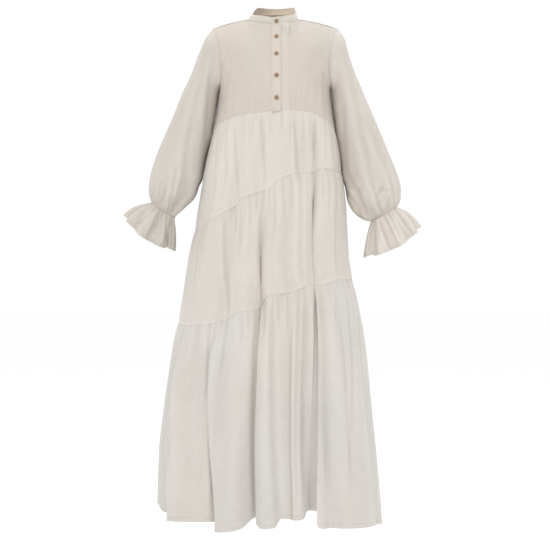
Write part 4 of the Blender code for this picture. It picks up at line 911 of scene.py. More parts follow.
def neckRing(angle, height, wide, deep):  # oval round the neck at the collar's foot or top
    turn = np.radians(angle)
    folded = np.abs(np.mod(np.asarray(angle) + 180, 360) - 180)
    z = smoothCurve(folded, collarHeights[:, 0], collarHeights[:, height])
    x, y = neck["middleX"] + wide * np.sin(turn), neck["middleY"] - deep * np.cos(turn)
    return np.stack([x, y, z], axis=-1)


def neckPoint(angle):
    return neckRing(angle, 1, neck["halfWidth"], neck["halfDepth"])


def collarTopPoint(angle):  # the back of the collar leans a little to one side
    points = neckRing(angle, 2, neck["topHalfWidth"], neck["topHalfDepth"])
    behind = smoothStep((np.abs(np.mod(np.asarray(angle) + 180, 360) - 180) - 85) / 25)
    points[..., 0] += behind * (0.008 - 0.06 * (points[..., 0] - neck["middleX"]))
    return points


def neckFrontAngles(side):
    steps = (fineStepsRight if side == "left" else fineStepsLeft) // 2
    return np.r_[neck["splitAngle"], np.linspace(neck["placketAngles"][side], sideSign(side) * 90, steps)]


def armholePath(side, face):
    points = [(sideSign(side) * out, y, z) for out, y, z in armholes[face]]
    if side == "left":
        points[-1] = (bodySections[0, 2], 0.0, bodySections[0, 0])
    return pathThrough(points, bodiceShape["armholeRows"] + 1)


def bodiceQuarter(side, face, angles):
    # rows from neck to yoke seam, columns from middle to side, pulled onto both edge lines
    sign = sideSign(side)
    if face == "front":
        neckAngles = neckFrontAngles(side)
        profile = [(bodiceShape["placketX"], y, z) for y, z in centreFront]
    else:
        neckAngles = np.linspace(180, 180 - sign * 90, len(angles) - sideSteps // 2)
        profile = [(0.0, y, z) for y, z in centreBack]
    neckEdge = neckPoint(neckAngles)
    shoulderPoint = np.array([sign * shoulder["x"], 0.0, shoulder["z"]])
    t = np.linspace(0, 1, sideSteps // 2 + 1)[1:, None]
    crown = shoulder["crown"] * np.sin(np.pi * t) * np.array([0, 0, 1.0])
    top = np.concatenate([neckEdge, neckEdge[-1] + (shoulderPoint - neckEdge[-1]) * t + crown])
    foot = bodyPoint(angles, seamHeight(yokeSeam, angles))
    rows = bodiceShape["armholeRows"] + bodiceShape["sideSeamRows"] + 1
    middle = pathThrough([neckEdge[0]] + profile + [foot[0]], rows)
    armhole = armholePath(side, face)
    t = np.linspace(0, 1, bodiceShape["sideSeamRows"] + 1)[1:, None]
    edge = np.concatenate([armhole, armhole[-1] + (foot[-1] - armhole[-1]) * t])
    across = np.linspace(0, 1, len(angles))[None, :, None] ** bodiceShape["sidePull"]
    down = np.linspace(0, 1, rows)[:, None, None]
    drop = np.concatenate([down, np.sin(down * np.pi / 2) ** bodiceShape["chestRound"][face], down], axis=2)
    points = top[None] + (foot - top)[None] * drop
    pull = (edge[:, None] - points[:, -1:]) * across
    return points + (middle[:, None] - points[:, :1]) * (1 - across) ** bodiceShape["middlePull"] + pull


def relaxed(points):  # even out the inner points, edges kept
    points = points.copy()
    for _ in range(bodiceShape["relax"]):
        near = points[:-2, 1:-1] + points[2:, 1:-1] + points[1:-1, :-2] + points[1:-1, 2:]
        points[1:-1, 1:-1] = (points[1:-1, 1:-1] + near / 4) / 2
    return points


# Creases in the front view: from x, z to x, z, width, depth, bow
bodiceCreases = {
    "bodice_front_right": [
        (-0.154, -0.088, -0.125, -0.158, 0.010, -0.0016, 0.004),
        (-0.142, -0.169, -0.160, -0.256, 0.009, -0.0026, 0.003),
        (-0.099, -0.044, -0.113, -0.094, 0.008, -0.0010, 0.0),
        (-0.073, -0.140, -0.038, -0.256, 0.012, -0.0010, 0.004),
        (-0.120, -0.200, -0.128, -0.300, 0.008, -0.0014, 0.0),
        (-0.030, -0.050, -0.034, -0.090, 0.005, -0.0008, 0.0),
        (-0.095, -0.235, -0.098, -0.300, 0.007, -0.0012, 0.0),
        (-0.060, -0.245, -0.058, -0.295, 0.006, -0.0010, 0.0)],
    "bodice_front_left": [
        (0.088, -0.050, 0.087, -0.086, 0.0035, -0.0007, 0.0),
        (0.101, -0.052, 0.099, -0.098, 0.0035, -0.0009, 0.001),
        (0.113, -0.055, 0.112, -0.080, 0.0035, -0.0006, 0.0),
        (0.061, -0.195, 0.058, -0.280, 0.004, -0.0010, 0.0),
        (0.077, -0.180, 0.073, -0.262, 0.004, -0.0008, 0.002),
        (0.097, -0.205, 0.091, -0.290, 0.006, -0.0012, -0.001),
        (0.121, -0.188, 0.116, -0.268, 0.005, -0.0012, 0.002),
        (0.144, -0.165, 0.151, -0.300, 0.008, -0.0024, -0.003),
        (0.116, -0.105, 0.108, -0.175, 0.020, -0.0036, 0.004),
        (0.158, -0.053, 0.137, -0.110, 0.012, -0.0016, 0.003),
        (0.031, -0.032, 0.034, -0.060, 0.005, 0.0046, 0.001),
        (0.0405, -0.030, 0.0415, -0.060, 0.0026, -0.0024, 0.002),
        (0.046, -0.165, 0.042, -0.250, 0.004, -0.0006, 0.001)],
    "bodice_back": [
        (-0.060, -0.030, -0.070, -0.110, 0.008, -0.0014, 0.0),
        (0.058, -0.026, 0.072, -0.120, 0.009, -0.0014, 0.0),
        (-0.135, -0.150, -0.128, -0.300, 0.010, -0.0030, 0.003),
        (0.132, -0.160, 0.126, -0.290, 0.010, -0.0028, -0.003),
        (-0.080, -0.190, -0.076, -0.310, 0.008, -0.0018, 0.0),
        (-0.030, -0.210, -0.032, -0.315, 0.007, -0.0015, 0.0),
        (0.022, -0.200, 0.020, -0.310, 0.008, -0.0018, 0.0),
        (0.070, -0.215, 0.072, -0.310, 0.007, -0.0016, 0.0),
        (-0.010, -0.020, -0.012, -0.080, 0.009, -0.0010, 0.0),
        (0.100, -0.070, 0.060, -0.190, 0.014, -0.0014, 0.006)]}
bodiceSheets = {
    "bodice_front_right": {"columns": 90, "rows": 105, "seed": 31, "flat": (0.26, 0.36), "area": 0.0735},
    "bodice_front_left": {"columns": 90, "rows": 105, "seed": 41, "flat": (0.26, 0.36), "area": 0.0705},
    "bodice_back": {"columns": 160, "rows": 105, "seed": 51, "flat": (0.50, 0.40), "area": 0.16}}
underLap = {"width": 0.034, "swell": 0.0007, "lines": (0.021, 0.031)}
# foot, top and armhole: painted shade along those seams; shadow: a painted shadow beside the armhole; trough:
# painted shade and light over creases; lap: the double layer behind the placket in a paler tint of its own
bodiceShadeAndLapTint = {"width": 0.002, "foot": 0.5, "top": 0.25, "armhole": 0.3, "shadow": 0.12, "lap": 0.55,
              "trough": 0.4}
edgePuckers = {  # depth, pitch, reach
    "foot": (0.0007, 0.008, 0.012), "top": (0.0006, 0.009, 0.012), "armhole": (0.0006, 0.010, 0.010)}


def bodicePiece(node, coarse, joins):
    # the quarter's points refined to a fine sheet, with creases, crinkle and pinched seams
    settings = bodiceSheets[node]
    points = refine(refine(coarse, settings["rows"], 0), settings["columns"], 1)
    inside = points * (0, 0, 1) - (0, 0, 0.03)
    normals = gridNormals(points, inside)
    u, down = clothMap(points)
    seed = settings["seed"]
    extra = creases(points, bodiceCreases[node], 1.0) + crinkle(u, down, seed) * 0.7
    toTop, toFoot = down, down[-1] - down
    toStart, toEnd = u, u[:, -1:] - u
    puckered = ((u, toFoot, "foot"), (u, toTop, "top"), (down, toEnd, "armhole"))
    for k, (along, away, edge) in enumerate(puckered):
        depth, pitch, reach = edgePuckers[edge]
        extra += depth * noiseLine(along / pitch, seed + 5 + k) * fading(away, reach)
    fade = smoothStep(toTop / 0.010) * smoothStep(toFoot / 0.008) * smoothStep(toEnd / 0.010)
    fade = fade * smoothStep(toStart / (0.010 if joins == "both" else 0.006))
    stitchDown = 0 * u
    lap = 0 * u
    if node == "bodice_front_left":
        lap = 1 - smoothStep((toStart - underLap["width"]) / 0.0015)
        stitchDown = np.maximum(*(stitchLine(toStart, at, 0.0016) for at in underLap["lines"]))
    extra = (extra + 0.0005) * fade - 0.0005
    outer = points + normals * (extra + underLap["swell"] * lap * smoothStep(toStart / 0.003))[..., None]
    normals = gridNormals(outer, inside)
    # painted shade along the seams and beside the armhole, painted shade and light over creases, the
    # under-lap paler as a double layer
    width = bodiceShadeAndLapTint["width"]
    seam = bodiceShadeAndLapTint["foot"] * bell(toFoot, width) + bodiceShadeAndLapTint["top"] * bell(toTop, width)
    seam = seam + bodiceShadeAndLapTint["armhole"] * bell(toEnd, width) + bodiceShadeAndLapTint["shadow"] * fading(toEnd, 0.012)
    seam = seam - bodiceShadeAndLapTint["lap"] * lap + bodiceShadeAndLapTint["trough"] * paintedTroughShade(extra)
    if joins == "both":
        seam = seam + bodiceShadeAndLapTint["armhole"] * bell(toStart, width)
    stitch = stitchLine(toFoot, 0.004, 0.0018)
    outer, normals = turnedEdge(outer, normals, "top", edgeRolls["bodiceTop"])
    outer, normals = turnedEdge(outer, normals, "foot", edgeRolls["bodiceFoot"])
    outer, normals = turnedEdge(outer, normals, "end", edgeRolls["armhole"])
    pads = ((1, 1), (0, 1))
    if joins == "both":
        outer, normals = turnedEdge(outer, normals, "start", edgeRolls["farArmhole"])
        pads = ((1, 1), (1, 1))
    seam, stitch, stitchDown = (paddedField(field, pads) for field in (seam, stitch, stitchDown))
    inner = outer - normals * cloth["thickness"]
    name = "gauze" + "".join(word.capitalize() for word in node.split("_"))
    fields = {"seam": seam, "stitch": stitch, "stitchDown": stitchDown}
    piece = makeShell(name, outer, inner, gauzeBodice, clothMap(outer), fields)
    settings["piece"] = finishPiece(piece, node)


coarseFronts = {"right": relaxed(bodiceQuarter("right", "front", frontLeftAngles[::-1][::2])),
                "left": relaxed(bodiceQuarter("left", "front", frontRightAngles[::2]))}
nearBack = bodiceQuarter("left", "back", backRightAngles[::-1][::2])
farBack = bodiceQuarter("right", "back", (360 - backRightAngles[::-1])[::2])
coarseBack = relaxed(np.concatenate([nearBack[:, ::-1], farBack[:, 1:]], axis=1))
for side in ("right", "left"):
    bodicePiece(f"bodice_front_{side}", coarseFronts[side], "one")
bodicePiece("bodice_back", coarseBack, "both")
print("bodice made")

# Collar band

collar = {"columns": 200, "rows": 16, "round": 0.0009, "wave": 0.0007, "stitchFrom": 0.0022,
          "thickness": 0.0015, "flat": (0.44, 0.035), "area": 0.0118}
collarCoarse = np.r_[neckFrontAngles("left"), np.linspace(90, 270, backSteps // 2 + 1)[1:-1],
                     360 + neckFrontAngles("right")[::-1]]


def collarPiece():
    # band between foot and top ovals, a little round in section, with topstitched edges
    angles = spread(collarCoarse, collar["columns"])
    foot, top = neckPoint(angles), collarTopPoint(angles)
    t = denseEnds(collar["rows"], 0.5)[:, None, None]
    points = top[None] + (foot - top)[None] * t
    middle = np.array([neck["middleX"], neck["middleY"], 0.0])
    inside = middle + points * (0, 0, 1)
    normals = gridNormals(points, inside)
    u, down = clothMap(points)
    height = np.linalg.norm(foot - top, axis=1)[None]
    toTop, toFoot = t[..., 0] * height, (1 - t[..., 0]) * height
    waved = collar["wave"] * noiseSheet(u / 0.018, down / 0.02, 61) * smoothStep(toFoot / 0.006)
    extra = collar["round"] * np.sin(np.pi * t[..., 0]) + waved + 0.0003 * noiseLine(u / 0.005, 62)
    outer = points + normals * extra[..., None]
    normals = gridNormals(outer, inside)
    # painted shade along the collar's foot seam
    seam = 0.3 * bell(toFoot, 0.0016)
    stitch = np.maximum(stitchLine(toTop, collar["stitchFrom"], 0.0015),
                        stitchLine(toFoot, collar["stitchFrom"], 0.0015))
    outer, normals = turnedEdge(outer, normals, "foot", edgeRolls["collarFoot"])
    seam, stitch = (paddedField(field, ((0, 1), (0, 0))) for field in (seam, stitch))
    inner = outer - normals * collar["thickness"]
    fields = {"seam": seam, "stitch": stitch, "stitchDown": 0 * seam}
    # the inner sheet takes the collar's painted-light copy of the gauze
    piece = makeShell("gauzeCollar", outer, inner, gauzeTrim, clothMap(outer), fields, facing=collarInnerPaintedLight)
    return finishPiece(piece, "collar_band")


collar["piece"] = collarPiece()

# Placket and buttons

placket = {"seamGap": 0.0003, "wall": 0.0016, "foot": 0.005, "rows": 170, "columns": 26,
           "stitchIn": 0.0022, "gape": 0.0014, "buttonholeHalf": 0.0085, "flat": (0.0265, 0.325)}
button = {"heights": (-0.0165, -0.066, -0.1205, -0.186, -0.2515), "radius": 0.0062, "thickness": 0.0026,
          "turn": 0.4, "threadRadius": 0.00034}


def profileNormals(line):
    along = np.gradient(line, axis=0)
    return -unit(np.stack([0 * along[:, 0], -along[:, 2], along[:, 1]], axis=1))


def placketLines():
    # the strip's three long lines, from collar top to just past the yoke seam
    collarTop, collarFoot = collarTopPoint(collarCoarse), neckPoint(collarCoarse)
    collarGrid = np.stack([collarTop, (collarTop + collarFoot) / 2, collarFoot])
    middle = np.array([neck["middleX"], neck["middleY"], 0.0]) + collarGrid * (0, 0, 1)
    collarNormals = gridNormals(collarGrid, middle)
    lines, outs = [], []
    for side, bodyColumn, collarColumn in (("right", 1, -2), ("left", 0, 0), ("left", 1, 1)):
        body = coarseFronts[side]
        bodyNormals = gridNormals(body, body * (0, 0, 1) - (0, 0, 0.03))
        if bodyColumn == 0:
            bodyNormals[:, 0] = profileNormals(body[:, 0])
        line, out = body[:, bodyColumn], bodyNormals[:, bodyColumn]
        foot = line[-1:] + np.array([[0, -0.0016, -placket["foot"]]])
        meeting = (collarGrid[2:, collarColumn] + line[:1]) / 2
        lines.append(np.concatenate([collarGrid[:2, collarColumn], meeting, line[1:], foot]))
        bend = unit(collarNormals[2:, collarColumn] + out[:1])
        outs.append(np.concatenate([collarNormals[:2, collarColumn], bend, out[1:], out[-1:]]))
    return np.stack(lines, axis=1), unit(np.stack(outs, axis=1))


under, underOut = placketLines()


def placketPiece():
    # the lines refined both ways and lifted, soft long edges, the free edge gaping a little between buttons
    points = refine(refine(under, placket["rows"], 0), placket["columns"], 1)
    out = unit(refine(refine(underOut, placket["rows"], 0), placket["columns"], 1))
    u, down = clothMap(points)
    width = u[:, -1:]
    toEdge = np.minimum(u, width - u)
    lift = placket["seamGap"] + placket["wall"] * (0.35 + 0.65 * smoothStep(toEdge / 0.0022))
    z = points[..., 2]
    gaps = np.ones(z.shape)
    for height in button["heights"]:
        gaps = gaps * (1 - bell(z - height, 0.013))
    gape = placket["gape"] * gaps * smoothStep(u / width) ** 2 * (1 + 0.6 * bell(z + 0.042, 0.012))
    dent = 0.0003 * bell(toEdge - placket["stitchIn"], 0.0009)
    soft = 0.0003 * noiseSheet(u / 0.009, down / 0.016, 71) + 0.0002 * noiseSheet(u / 0.004, down / 0.006, 72)
    outer = points + out * (lift + gape - dent + soft)[..., None]
    inner = points + out * (placket["seamGap"] + gape)[..., None]
    ends = np.minimum(down, down[-1] - down)
    stitchDown = stitchLine(toEdge, placket["stitchIn"], 0.0012) * (ends > 0.002)
    stitch = stitchLine(down[-1] - down, 0.0025, 0.0012) * (toEdge > 0.002)
    # painted shade along the strip's long edges and its foot, where it stands off the bodice
    seam = 0.35 * bell(toEdge, 0.0010) + 0.3 * bell(down[-1] - down, 0.0012)
    for height in button["heights"]:  # worked buttonholes run down the strip under each button
        seam = seam + 0.8 * bell(u - width / 2, 0.0010) * (np.abs(z - height) < placket["buttonholeHalf"])
    fields = {"seam": seam, "stitch": stitch, "stitchDown": stitchDown}
    piece = makeShell("gauzePlacket", outer, inner, gauzeTrim, clothMap(outer), fields)
    return finishPiece(piece, "placket")


placket["piece"] = placketPiece()


def latheGrid(profile, sides):  # radius and height turned round the button's own axis
    profile = np.asarray(profile)
    turn = np.arange(sides) * 2 * np.pi / sides
    x, y = profile[:, :1] * np.cos(turn), profile[:, :1] * np.sin(turn)
    return np.stack([x, y, profile[:, 1:] + 0 * turn], axis=-1)


def gridFaces(rows, columns, start):
    r, c = np.meshgrid(np.arange(rows - 1), np.arange(columns), indexing="ij")
    nextC = (c + 1) % columns
    here, after = r * columns, (r + 1) * columns
    quads = np.stack([here + c, here + nextC, after + nextC, after + c], axis=-1)
    return (quads.reshape(-1, 4) + start).tolist()


def tubeGrid(path, radius, sides):  # ring of points carried along a short thread
    path = np.asarray(path, float)
    along = unit(np.gradient(path, axis=0))
    side = unit(np.cross(along, (0.0, 0.0, 1.0)) + np.array([1e-6, 0, 0]))
    up = np.cross(side, along)
    turn = np.arange(sides) * 2 * np.pi / sides
    ring = side[:, None] * np.cos(turn)[None, :, None] + up[:, None] * np.sin(turn)[None, :, None]
    return path[:, None] + radius * ring


def buttonPiece(number, height):
    # turned disc with a raised rim and a dished middle, four holes shown as small near-black discs of painted
    # shade, and crossed thread
    r, h = button["radius"], button["thickness"] / 2
    profile = [(0.0001, -h), (r * 0.80, -h), (r * 0.95, -h * 0.6), (r, -h * 0.05),
               (r * 0.97, h * 0.6), (r * 0.88, h), (r * 0.78, h * 0.96), (r * 0.68, h * 0.55),
               (r * 0.50, h * 0.38), (r * 0.25, h * 0.34), (0.0001, h * 0.33)]
    parts = [(latheGrid(profile, 48), 0)]
    holeAt = r * 0.21
    # each hole is a small near-black disc, painted shade standing for the hole's depth
    for sx, sy in ((1, 1), (1, -1), (-1, -1), (-1, 1)):
        hole = latheGrid([(0.00062, h * 0.34), (0.00062, h * 0.44), (0.00048, h * 0.46),
                          (0.00001, h * 0.40)], 14)
        parts.append((hole + np.array([sx * holeAt, sy * holeAt, 0]), 1))
    for sx in (1, -1):
        path = [(sx * holeAt * t, holeAt * t, h * (0.36 + 0.42 * (1 - t * t))) for t in np.linspace(-1, 1, 9)]
        parts.append((tubeGrid(path, button["threadRadius"], 8), 2))
    line = refine(under[::-1, 1] + underOut[::-1, 1] * (placket["seamGap"] + placket["wall"]), 200, 0)
    heights = height + np.linspace(-1, 1, 9) * r
    depths = np.interp(heights, line[:, 2], line[:, 1])
    slope = (depths[-1] - depths[0]) / (heights[-1] - heights[0])
    out = Vector((0, -1, slope)).normalized()
    proud = ((depths - depths[4]) * out.y + (heights - height) * out.z).max()
    centre = Vector((bodiceShape["placketX"], depths[4], height)) + out * (placket["seamGap"] + h + proud)
    upright = out.to_track_quat("Z", "X").to_matrix().to_4x4()
    turn = np.array(Matrix.Translation(centre) @ upright @ Matrix.Rotation(button["turn"] * number, 4, "Z"))
    points, faces, kinds = [], [], []
    for grid, kind in parts:
        rows, columns = grid.shape[:2]
        made = gridFaces(rows, columns, sum(len(p) for p in points))
        faces += made
        kinds += [kind] * len(made)
        points.append(grid.reshape(-1, 3) @ turn[:3, :3].T + turn[:3, 3])
    mesh = bpy.data.meshes.new(f"woodButton{number}")
    mesh.from_pydata(np.concatenate(points).tolist(), [], faces)
    for material in (buttonWood, buttonHolePaintedShade, buttonThread):
        mesh.materials.append(material)
    mesh.polygons.foreach_set("material_index", np.array(kinds, dtype=np.int32))
    mesh.update()
    mesh.shade_smooth()
    piece = bpy.data.objects.new(mesh.name, mesh)
    bpy.context.scene.collection.objects.link(piece)
    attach(piece, "root")
    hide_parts(f"button_{number}")
    return piece


button["pieces"] = [buttonPiece(number, height) for number, height in enumerate(button["heights"], start=1)]
print("collar, placket and buttons made")

# Sleeves and cuff ruffles

# Rings: outer x, outer z, inner x, inner z, half depth, middle y
sleeveRings = {
    "right": np.array([
        (-0.2060, -0.050, -0.1770, -0.229, 0.068, 0.000), (-0.2260, -0.096, -0.1835, -0.254, 0.066, 0.000),
        (-0.2475, -0.150, -0.1862, -0.287, 0.065, -0.001), (-0.2795, -0.222, -0.1908, -0.338, 0.066, -0.003),
        (-0.3025, -0.282, -0.2022, -0.390, 0.068, -0.005), (-0.3290, -0.344, -0.2138, -0.438, 0.071, -0.007),
        (-0.3545, -0.410, -0.2235, -0.480, 0.074, -0.009), (-0.3710, -0.466, -0.2308, -0.512, 0.074, -0.011),
        (-0.3755, -0.503, -0.2420, -0.536, 0.068, -0.012), (-0.3750, -0.530, -0.2680, -0.562, 0.052, -0.013),
        (-0.3710, -0.546, -0.2960, -0.589, 0.033, -0.014)]),
    "left": np.array([
        (0.2020, -0.048, 0.1760, -0.229, 0.068, 0.000), (0.2170, -0.096, 0.1795, -0.254, 0.066, 0.000),
        (0.2355, -0.150, 0.1818, -0.287, 0.065, -0.001), (0.2655, -0.222, 0.1845, -0.338, 0.066, -0.003),
        (0.2910, -0.282, 0.1930, -0.392, 0.068, -0.005), (0.3165, -0.346, 0.1997, -0.446, 0.071, -0.007),
        (0.3430, -0.414, 0.2085, -0.500, 0.074, -0.009), (0.3640, -0.470, 0.2145, -0.543, 0.074, -0.011),
        (0.3715, -0.508, 0.2300, -0.572, 0.068, -0.012), (0.3700, -0.538, 0.2510, -0.592, 0.052, -0.013),
        (0.3635, -0.556, 0.2780, -0.6035, 0.033, -0.014)])}
puffWaves, puffDepths = 7, (0, 0, 0, 0, 0, 0.001, 0.002, 0.003, 0.004, 0.004, 0.002)
ruffleRings = {
    "right": np.array([
        (-0.3705, -0.549, -0.3015, -0.594, 0.027, -0.014), (-0.3840, -0.553, -0.3015, -0.609, 0.035, -0.014),
        (-0.4020, -0.560, -0.3010, -0.631, 0.046, -0.015), (-0.4200, -0.571, -0.3020, -0.660, 0.058, -0.016),
        (-0.4440, -0.593, -0.3060, -0.686, 0.066, -0.017)]),
    "left": np.array([
        (0.3615, -0.560, 0.2840, -0.604, 0.027, -0.014), (0.3730, -0.568, 0.2800, -0.619, 0.035, -0.014),
        (0.3900, -0.579, 0.2760, -0.642, 0.046, -0.015), (0.4060, -0.600, 0.2720, -0.676, 0.058, -0.016),
        (0.4240, -0.627, 0.2700, -0.706, 0.066, -0.017)])}
ruffleWaves, ruffleDepths = 9, (0.0, 0.003, 0.006, 0.010, 0.013)
ruffleDrops = (0.0, 0.001, 0.005, 0.012, 0.021)
ruffleHem = {"turn": 0.007, "dent": 0.0004, "thicker": 0.0004}
# top: painted shade along the sleeve cap's seam; shadow: a painted shadow below it; hem: painted shade in the
# hem's dent; foot: a painted highlight on the elastic ridge; aboveFoot: painted shade just above it
tubePaintedLightAndShade = {"top": 0.3, "shadow": 0.12, "hem": 0.2, "foot": 0.45, "aboveFoot": 0.20}
elasticRoll = {"depth": 0.0012, "at": 0.003, "width": 0.003}

# tone: each sleeve's gauze painted deeper as a whole above nought and paler below nought, painted shade and
# painted light that set the two sleeves' brightness
sleeves = {
    "right": {"columns": 150, "rows": 150, "seed": 81, "tone": 0.15, "flat": (0.47, 0.56), "area": 0.215,
              "front": [
                  (-0.204, -0.085, -0.233, -0.248, 0.012, -0.0030, 0.002),
                  (-0.233, -0.248, -0.275, -0.484, 0.013, -0.0034, -0.004),
                  (-0.275, -0.484, -0.296, -0.565, 0.008, -0.0030, 0.0),
                  (-0.293, -0.449, -0.312, -0.562, 0.007, -0.0028, 0.002),
                  (-0.325, -0.514, -0.342, -0.560, 0.005, -0.0022, 0.0),
                  (-0.307, -0.535, -0.318, -0.578, 0.004, -0.0028, 0.0),
                  (-0.298, -0.535, -0.309, -0.584, 0.004, -0.0024, 0.0),
                  (-0.342, -0.515, -0.350, -0.556, 0.005, -0.0020, 0.0),
                  (-0.260, -0.396, -0.268, -0.514, 0.010, -0.0022, 0.003),
                  (-0.188, -0.130, -0.207, -0.396, 0.010, -0.0036, 0.0),
                  (-0.207, -0.396, -0.232, -0.543, 0.010, -0.0030, 0.0),
                  (-0.257, -0.550, -0.284, -0.588, 0.005, -0.0024, 0.0),
                  (-0.240, -0.150, -0.300, -0.330, 0.014, -0.0022, 0.004),
                  (-0.356, -0.470, -0.362, -0.548, 0.006, -0.0022, 0.0)],
              "back": [
                  (-0.210, -0.100, -0.262, -0.330, 0.014, -0.0034, 0.004),
                  (-0.262, -0.330, -0.310, -0.540, 0.012, -0.0032, -0.004),
                  (-0.230, -0.280, -0.252, -0.500, 0.010, -0.0028, 0.0),
                  (-0.330, -0.440, -0.336, -0.560, 0.008, -0.0026, 0.002),
                  (-0.285, -0.500, -0.304, -0.578, 0.005, -0.0026, 0.0),
                  (-0.350, -0.480, -0.356, -0.552, 0.006, -0.0022, 0.0)]},
    "left": {"columns": 150, "rows": 150, "seed": 91, "tone": -0.08, "flat": (0.47, 0.57), "area": 0.22,
             "front": [
                 (0.212, -0.120, 0.256, -0.366, 0.013, -0.0036, 0.003),
                 (0.260, -0.366, 0.284, -0.500, 0.012, -0.0030, 0.0),
                 (0.196, -0.240, 0.208, -0.455, 0.009, -0.0038, 0.0),
                 (0.208, -0.455, 0.256, -0.583, 0.009, -0.0038, 0.004),
                 (0.318, -0.500, 0.298, -0.538, 0.006, -0.0034, 0.0),
                 (0.300, -0.518, 0.334, -0.516, 0.006, -0.0030, 0.003),
                 (0.337, -0.470, 0.352, -0.545, 0.006, -0.0026, 0.0),
                 (0.284, -0.500, 0.312, -0.578, 0.005, -0.0030, 0.0),
                 (0.260, -0.490, 0.228, -0.540, 0.007, -0.0020, 0.0),
                 (0.337, -0.536, 0.328, -0.572, 0.004, -0.0022, 0.0),
                 (0.349, -0.528, 0.352, -0.563, 0.004, -0.0020, 0.0),
                 (0.285, -0.330, 0.340, -0.470, 0.012, -0.0028, -0.003),
                 (0.239, -0.510, 0.271, -0.588, 0.006, -0.0030, 0.0),
                 (0.214, -0.520, 0.256, -0.600, 0.006, -0.0030, 0.003),
                 (0.298, -0.545, 0.318, -0.584, 0.004, -0.0022, 0.0)],
             "back": [
                 (0.208, -0.110, 0.250, -0.340, 0.014, -0.0034, 0.004),
                 (0.250, -0.340, 0.292, -0.560, 0.012, -0.0032, -0.003),
                 (0.222, -0.300, 0.232, -0.520, 0.010, -0.0028, 0.0),
                 (0.322, -0.450, 0.330, -0.570, 0.008, -0.0026, 0.0),
                 (0.272, -0.500, 0.296, -0.588, 0.005, -0.0026, 0.0),
                 (0.346, -0.490, 0.348, -0.560, 0.006, -0.0020, 0.0)]}}
# tone: each ruffle's gauze painted deeper as a whole above nought and paler below nought, painted shade and
# painted light that set the two ruffles' brightness
ruffles = {
    "right": {"columns": 240, "rows": 44, "seed": 101, "tone": 0.42, "flat": (0.62, 0.125), "area": 0.062,
              "front": [
                  (-0.348, -0.556, -0.402, -0.612, 0.004, -0.0022, 0.002),
                  (-0.339, -0.572, -0.374, -0.652, 0.006, -0.0046, 0.0),
                  (-0.321, -0.588, -0.324, -0.675, 0.004, -0.0036, 0.0),
                  (-0.309, -0.597, -0.309, -0.695, 0.003, -0.0026, 0.0),
                  (-0.330, -0.573, -0.363, -0.640, 0.004, -0.0026, 0.0)], "back": []},
    "left": {"columns": 240, "rows": 44, "seed": 111, "tone": -0.15, "flat": (0.66, 0.125), "area": 0.068,
             "front": [
                 (0.307, -0.600, 0.338, -0.684, 0.004, -0.0040, 0.0),
                 (0.333, -0.576, 0.368, -0.660, 0.004, -0.0032, 0.0),
                 (0.353, -0.568, 0.402, -0.644, 0.004, -0.0026, 0.0),
                 (0.286, -0.606, 0.277, -0.692, 0.005, -0.0026, 0.0),
                 (0.321, -0.588, 0.357, -0.676, 0.003, -0.0022, 0.0)], "back": []}}


def ringPoints(ring, around):  # oval between an outer and an inner edge point, with its own half depth
    outerX, outerZ, innerX, innerZ, depth, middleY = ring
    outer, inner = np.array([outerX, 0.0, outerZ]), np.array([innerX, 0.0, innerZ])
    middle = (outer + inner) / 2 + np.array([0, middleY, 0])
    turn = np.radians(around)[:, None]
    return middle + (outer - inner) / 2 * np.cos(turn) + np.array([0, -depth, 0]) * np.sin(turn), middle


def ringOut(ring, around):
    outerX, outerZ, innerX, innerZ, depth, _ = ring
    half = np.array([outerX - innerX, 0.0, outerZ - innerZ]) / 2
    width = np.linalg.norm(half)
    turn = np.radians(around)[:, None]
    return unit(half / width * np.cos(turn) / width + np.array([0, -1.0, 0]) * np.sin(turn) / depth)


def ringAxis(ring):
    axis = np.array([ring[3] - ring[1], 0.0, ring[0] - ring[2]])
    return unit(axis if axis[2] < 0 else -axis)


def facingShare(points, middles):  # one on the front half of a tube, nought on its back half
    return smoothStep((middles[..., 1] - points[..., 1]) / 0.012 + 0.5)


